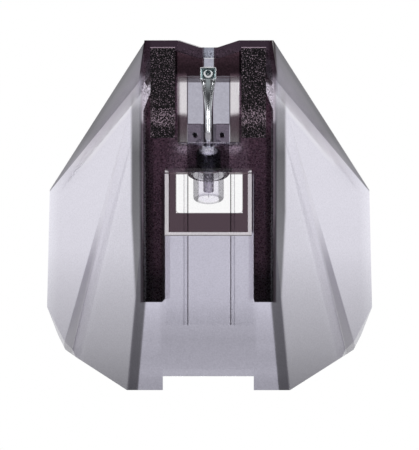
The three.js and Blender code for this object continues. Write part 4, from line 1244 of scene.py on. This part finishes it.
# Bearing sleeve.
# A thin turned steel sleeve in the carrier's bore, with a lip at the rear that stops the damper.
SLEEVE_PROFILE = (
    (0.51, -0.5), (0.63, -0.5), (0.65, -0.48), (0.65, 0.38), (0.63, 0.4), (0.585, 0.4),
    (0.57, 0.385), (0.57, -0.3), (0.51, -0.3),
)
DULL, DULL_LINES = (0.12, 0.12, 0.135, 1), (0.7, 0.7, 0.72, 1)
dull_steel, tree, shader, tone = worked_metal(
    "turned_steel", DULL, DULL_LINES, TURNED_GRAIN, roughness=0.3, metallic=1.0,
)
sleeve = turned_piece("bearing_turning", SLEEVE_PROFILE, ROUND_SIDES)
sleeve.data.materials.append(dull_steel)
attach(sleeve, "housing")
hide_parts("bearing_sleeve")


# Damper ring.
# The black rubber ring in which the cantilever line swings. It is the spring of both joints.
DAMPER_HOLE, DAMPER_SIDE, DAMPER_HALF_LENGTH = 0.29, 0.54, 0.22
DAMPER_CORNER, DAMPER_CHAMFER = 0.03, 0.02
RUBBER_BLACK, RUBBER_MOTTLE_TONE = (0.02, 0.02, 0.022, 1), 0.5
RUBBER_GRAIN, RUBBER_RELIEF = 0.03 * MM, 0.01 * MM
rubber, tree, shader = new_paint("damper_rubber")
texture = grained(tree, shader, RUBBER_GRAIN, roughness=0.6, swing=0.25)
tree.links.new(
    mottled(tree, RUBBER_BLACK, texture, 1.0, RUBBER_MOTTLE_TONE), shader.inputs["Base Color"],
)
in_relief(tree, shader, texture.outputs["Height"], RUBBER_RELIEF, strength=0.3)
corner_radius, corner_place = DAMPER_SIDE - DAMPER_CORNER, DAMPER_HALF_LENGTH - DAMPER_CORNER
hole_edge = DAMPER_HOLE + DAMPER_CHAMFER
damper = turned_piece("damper_moulding", (
    [(DAMPER_HOLE, -corner_place), (hole_edge, -DAMPER_HALF_LENGTH)]
    + arc((corner_radius, -corner_place), DAMPER_CORNER, 270, 360, 3)
    + arc((corner_radius, corner_place), DAMPER_CORNER, 0, 90, 3)
    + [(hole_edge, DAMPER_HALF_LENGTH), (DAMPER_HOLE, corner_place)]
), ROUND_SIDES)
damper.data.materials.append(rubber)
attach(damper, "damper")
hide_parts("damper_ring")


# Magnet and tie wire.
# A ground magnet rod, bored for the steel tie wire that pulls the whole line back on the damper.
# Light can't reach them in the smoke, so the magnet and the collar are given a little of their own.
MAGNET_PROFILE = (
    (0.065, -1.83), (0.24, -1.83), (0.262, -1.822), (0.27, -1.8), (0.27, 0.235), (0.245, 0.26),
    (0.065, 0.26),
)
MAGNET_GREY, MAGNET_LINES, MAGNET_LIGHT = (0.8, 0.75, 0.84, 1), (0.8, 0.8, 0.82, 1), 0.12
ground_alloy, tree, shader, tone = worked_metal(
    "magnet_alloy", MAGNET_GREY, MAGNET_LINES, TURNED_GRAIN, roughness=0.45, metallic=0.15,
)
tree.links.new(tone, shader.inputs["Emission Color"])
shader.inputs["Emission Strength"].default_value = MAGNET_LIGHT
magnet = turned_piece("magnet_rod", MAGNET_PROFILE, ROUND_SIDES)
magnet.data.materials.append(ground_alloy)
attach(magnet, "cantilever")
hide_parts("magnet")

WIRE_SIDES = 24
WIRE_REAR, WIRE_STEP_REAR, WIRE_STEP_FRONT, WIRE_FRONT = -2.17, -1.86, -1.83, 0.26
WIRE_RADIUS, WIRE_THIN_RADIUS, WIRE_ROUND = 0.045, 0.014, 0.01
PALE_STEEL, PALE_LINES = (0.8, 0.79, 0.84, 1), (0.85, 0.85, 0.87, 1)
bright_steel, tree, shader, tone = worked_metal(
    "drawn_steel", PALE_STEEL, PALE_LINES, DRAWN_GRAIN, roughness=0.3, metallic=0.4,
)
wire = turned_piece("tie_wire_drawn", (
    [(0.0, WIRE_REAR), (WIRE_THIN_RADIUS, WIRE_REAR), (WIRE_THIN_RADIUS, WIRE_STEP_REAR)]
    + [(WIRE_RADIUS, WIRE_STEP_FRONT)]
    + arc((WIRE_RADIUS - WIRE_ROUND, WIRE_FRONT - WIRE_ROUND), WIRE_ROUND, 0, 90, 3)
    + [(0.0, WIRE_FRONT)]
), WIRE_SIDES)
wire.data.materials.append(bright_steel)
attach(wire, "cantilever")
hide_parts("tie_wire")


# Armature collar.
# A turned steel cup that joins the magnet and the cantilever in front of the damper.
COLLAR_PROFILE = (
    (0.0, 0.28), (0.48, 0.28), (0.5, 0.3), (0.5, 0.41), (0.48, 0.43), (0.36, 0.43), (0.345, 0.445),
    (0.345, 0.665), (0.33, 0.68), (0.26, 0.68), (0.26, 0.41), (0.0, 0.41),
)
COLLAR_PALE, COLLAR_LIGHT = (0.9, 0.9, 0.94, 1), 0.42
COLLAR_SKIRT, SKIRT_TONE = ((ACROSS, 0.2, 0.36),), 0.12
collar = turned_piece("collar_turning", COLLAR_PROFILE, ROUND_SIDES)
pale_alloy, tree, shader, tone = worked_metal(
    "pale_alloy", COLLAR_PALE, PALE_LINES, TURNED_GRAIN, roughness=0.45, metallic=0.1,
)
glow = multiplied_where(tree, tone, region(tree, places_in_mm(tree), COLLAR_SKIRT), SKIRT_TONE)
tree.links.new(glow, shader.inputs["Emission Color"])
shader.inputs["Emission Strength"].default_value = COLLAR_LIGHT
collar.data.materials.append(pale_alloy)
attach(collar, "cantilever")
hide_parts("armature_collar")


# Cantilever.
# A drawn tube in bright silver alloy. Towards the tip it is pressed flat, which leaves a groove
# between two raised rims, and a small pad inside its rim whose face is painted dark, as a painted
# reflection of the dark overhead.
TUBE_RADIUS = 0.25
PAD_HALF_WIDTH, PAD_HALF_THICKNESS = 0.41, 0.1
TUBE_START, FLARE_START, FLARE_END, TUBE_END = 0.43, 2.4, 4.38, 4.98
GROOVE_DEPTH, RIM_HEIGHT = 0.06, 0.02
FLARE_POWER = 2.6                   # how late along the flare the tube is pressed flat
PAD_SQUARENESS = 1 / 3              # the power that makes the pad's round section nearly square
GROOVE_SIDE, RIM_SIDE, RIM_START = (0.12, 0.5), (0.02, 0.08), (0.9, 1.0)
RIM_WIDTH_SHARE = 2.5
TUBE_SIDES, TUBE_RINGS = 72, 150
SILVER, SILVER_LINES = (0.82, 0.83, 0.86, 1), (0.8, 0.82, 0.82, 1)
UPPER_SIDE = (6.1, 6.2)             # level, less the rise of the line, where the tube's top starts
PAD_FACE = ((ACROSS, 0.38, 0.36), (ALONG, 6.72, 6.82), (ALONG, 7.33, 7.3))
GROOVE = ((ACROSS, 0.16, 0.06), (ALONG, 5.9, 6.6), (ALONG, 6.82, 6.72))
PAD_FACE_DARK_REFLECTION, GROOVE_TONE = (0.2, 0.27, 0.27, 1), (0.75, 0.82, 0.82, 1)
GROOVE_METALLIC = 0.4


def cantilever_tree():
    """A tube pressed flat towards its end, with a groove in the flare and a pad inside a rim."""
    tree, start, end = new_tree("pressed_tube", (
        ("Radius", "Float"), ("Pad Half Width", "Float"), ("Pad Half Thickness", "Float"),
        ("Tube Start", "Float"), ("Flare Start", "Float"), ("Flare End", "Float"),
        ("Tube End", "Float"), ("Groove", "Float"), ("Rim", "Float"), ("Material", "Material"),
    ))
    sizes = start.outputs
    rod = tree.nodes.new("GeometryNodeMeshCylinder")
    rod.inputs["Vertices"].default_value = TUBE_SIDES
    rod.inputs["Side Segments"].default_value = TUBE_RINGS
    rod.inputs["Radius"].default_value = 1.0
    rod.inputs["Depth"].default_value = 2.0
    here = tree.nodes.new("GeometryNodeInputPosition")
    parts = split_of(tree, here.outputs[0])
    share = worked(tree, "MULTIPLY_ADD", parts["Z"], 0.5, 0.5)
    length = worked(tree, "SUBTRACT", sizes["Tube End"], sizes["Tube Start"])
    place = worked(tree, "MULTIPLY_ADD", share, length, sizes["Tube Start"])
    run = worked(
        tree, "DIVIDE", worked(tree, "SUBTRACT", place, sizes["Flare Start"]),
        worked(tree, "SUBTRACT", sizes["Flare End"], sizes["Flare Start"]),
    )
    run = worked(tree, "MINIMUM", worked(tree, "MAXIMUM", run, 0.0), 1.0)
    flat = worked(tree, "POWER", run, FLARE_POWER)
    away = outside(tree, flat)

    def between(low, high):
        return worked(
            tree, "ADD", worked(tree, "MULTIPLY", low, away), worked(tree, "MULTIPLY", high, flat),
        )

    half_width = between(sizes["Radius"], sizes["Pad Half Width"])
    half_thickness = between(sizes["Radius"], sizes["Pad Half Thickness"])
    roundness = between(1.0, PAD_SQUARENESS)

    def squared(value):
        size = worked(tree, "POWER", worked(tree, "ABSOLUTE", value), roundness)
        return worked(tree, "MULTIPLY", size, worked(tree, "SIGN", value))

    across = worked(tree, "MULTIPLY", half_width, squared(parts["X"]))
    upward = worked(
        tree, "MULTIPLY", half_thickness, squared(worked(tree, "MULTIPLY", parts["Y"], -1.0)),
    )
    off_side = outside(tree, worked(tree, "ABSOLUTE", parts["X"]))
    on_top = worked(tree, "GREATER_THAN", 0.0, parts["Y"])
    # The groove is deepest where the tube is half pressed, which the product of both shares gives
    half_pressed = worked(tree, "MULTIPLY", worked(tree, "MULTIPLY", flat, away), 4.0)
    dent = together(
        tree, half_pressed, sizes["Groove"], eased(tree, off_side, *GROOVE_SIDE), on_top,
    )
    before_end = worked(tree, "SUBTRACT", sizes["Tube End"], place)
    inside_rim = together(
        tree, eased(tree, run, *RIM_START), eased(tree, off_side, *RIM_SIDE), on_top,
        worked(
            tree, "GREATER_THAN", before_end,
            worked(tree, "MULTIPLY", sizes["Rim"], RIM_WIDTH_SHARE),
        ),
    )
    upward = worked(tree, "SUBTRACT", upward, dent)
    upward = worked(tree, "SUBTRACT", upward, worked(tree, "MULTIPLY", inside_rim, sizes["Rim"]))
    pressed = tree.nodes.new("GeometryNodeSetPosition")
    tree.links.new(rod.outputs["Mesh"], pressed.inputs["Geometry"])
    tree.links.new(vector_of(tree, across, place, upward), pressed.inputs["Position"])
    soft = tree.nodes.new("GeometryNodeSetShadeSmooth")
    tree.links.new(pressed.outputs[0], soft.inputs["Geometry"])
    end_tree(tree, end, soft.outputs[0], sizes["Material"])
    return tree


silver, tree, shader, tone = worked_metal(
    "silver_alloy", SILVER, SILVER_LINES, DRAWN_GRAIN, roughness=0.16, metallic=1.0,
)
spot = across, along, height = places_in_mm(tree)
on_upper_side = eased(
    tree, worked(tree, "MULTIPLY_ADD", along, -math.tan(LINE_TILT), height), *UPPER_SIDE,
)
on_pad_face = together(tree, region(tree, spot, PAD_FACE), on_upper_side)
in_groove = together(tree, region(tree, spot, GROOVE), on_upper_side)
# Painted dark reflection on the pad's face, and a groove a little darker and less metallic
tone = multiplied_where(tree, tone, on_pad_face, PAD_FACE_DARK_REFLECTION)
tone = multiplied_where(tree, tone, in_groove, GROOVE_TONE)
tree.links.new(tone, shader.inputs["Base Color"])
tree.links.new(
    worked(tree, "MULTIPLY_ADD", in_groove, GROOVE_METALLIC - 1.0, 1.0), shader.inputs["Metallic"],
)
tube = grown("pressed_tube", cantilever_tree(), {
    "Radius": TUBE_RADIUS * MM, "Pad Half Width": PAD_HALF_WIDTH * MM,
    "Pad Half Thickness": PAD_HALF_THICKNESS * MM, "Tube Start": TUBE_START * MM,
    "Flare Start": FLARE_START * MM, "Flare End": FLARE_END * MM, "Tube End": TUBE_END * MM,
    "Groove": GROOVE_DEPTH * MM, "Rim": RIM_HEIGHT * MM,
}, silver)
tube.data.transform(ON_LINE)
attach(tube, "cantilever")
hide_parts("cantilever_tube")


# Tip ferrule, cement and diamond.
# The diamond's shank stands upright through the pad, in a bright ferrule above and a bead of
# clear amber cement below.
TIP_ALONG = 4.66
TIP = ON_LINE @ (Vector((0, TIP_ALONG, 0)) * MM)
UPRIGHT = Matrix.Translation(TIP) @ Matrix.Rotation(math.radians(90), 4, "X")
FERRULE_PROFILE = (
    (0.135, 0.06), (0.225, 0.06), (0.235, 0.07), (0.235, 0.1), (0.145, 0.18), (0.135, 0.18),
)
BRIGHT, BRIGHT_LINES = (0.96, 0.97, 0.97, 1), (0.92, 0.93, 0.93, 1)
polished, tree, shader, tone = worked_metal(
    "ferrule_silver", BRIGHT, BRIGHT_LINES, TURNED_GRAIN, roughness=0.2, metallic=0.7,
)
ferrule = turned_piece("tip_ferrule_ring", FERRULE_PROFILE, FINE_SIDES, UPRIGHT)
ferrule.data.materials.append(polished)
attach(ferrule, "cantilever")
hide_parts("tip_ferrule")

AMBER_SMOKE, AMBER_DENSITY, AMBER_IOR = (0.8, 0.66, 0.4, 1), 3000, 1.3
AMBER_BASE, AMBER_MOTTLE, AMBER_GRAIN = (0.92, 0.88, 0.78, 1), 0.2, 0.08 * MM
BEAD_START, BEAD_END = [(0.135, -0.05), (0.19, -0.05)], [(0.125, -0.18)]
BEAD_CENTRE, BEAD_ROUND = (0.13, -0.12), 0.06
amber, tree, shader, texture = clear_bodied(
    "cured_cement", AMBER_SMOKE, AMBER_DENSITY, AMBER_IOR, AMBER_GRAIN,
    roughness=0.1, swing=0.05, bump=0.2,
)
tree.links.new(mottled(tree, AMBER_BASE, texture, AMBER_MOTTLE), shader.inputs["Base Color"])
cement = turned_piece(
    "tip_cement_bead", BEAD_START + arc(BEAD_CENTRE, BEAD_ROUND, 20, -90, 6) + BEAD_END,
    FINE_SIDES, UPRIGHT,
)
cement.data.materials.append(amber)
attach(cement, "cantilever")
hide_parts("tip_cement")

STONE_SMOKE, STONE_DENSITY, STONE_IOR = (0.8, 0.84, 0.86, 1), 2000, 2.2
STONE_BASE, STONE_MOTTLE, STONE_GRAIN = (0.9, 0.93, 0.95, 1), 0.1, 0.05 * MM
STONE_SHANK = [(0.0, -0.15), (0.105, -0.15), (0.115, -0.14), (0.115, 0.25), (0.108, 0.27)]
STONE_CONE_END, STONE_POINT, STONE_POINT_ROUND = [(0.016, 0.54)], (0.0, 0.548), 0.014
STONE_SIDES = 32
stone, tree, shader, texture = clear_bodied(
    "diamond", STONE_SMOKE, STONE_DENSITY, STONE_IOR, STONE_GRAIN,
    roughness=0.02, swing=0.03, bump=0.02,
)
tree.links.new(mottled(tree, STONE_BASE, texture, STONE_MOTTLE), shader.inputs["Base Color"])
diamond = turned_piece(
    "diamond_point",
    STONE_SHANK + STONE_CONE_END + arc(STONE_POINT, STONE_POINT_ROUND, 10, 90, 4),
    STONE_SIDES, UPRIGHT,
)
diamond.data.materials.append(stone)
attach(diamond, "cantilever")
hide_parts("diamond_tip")
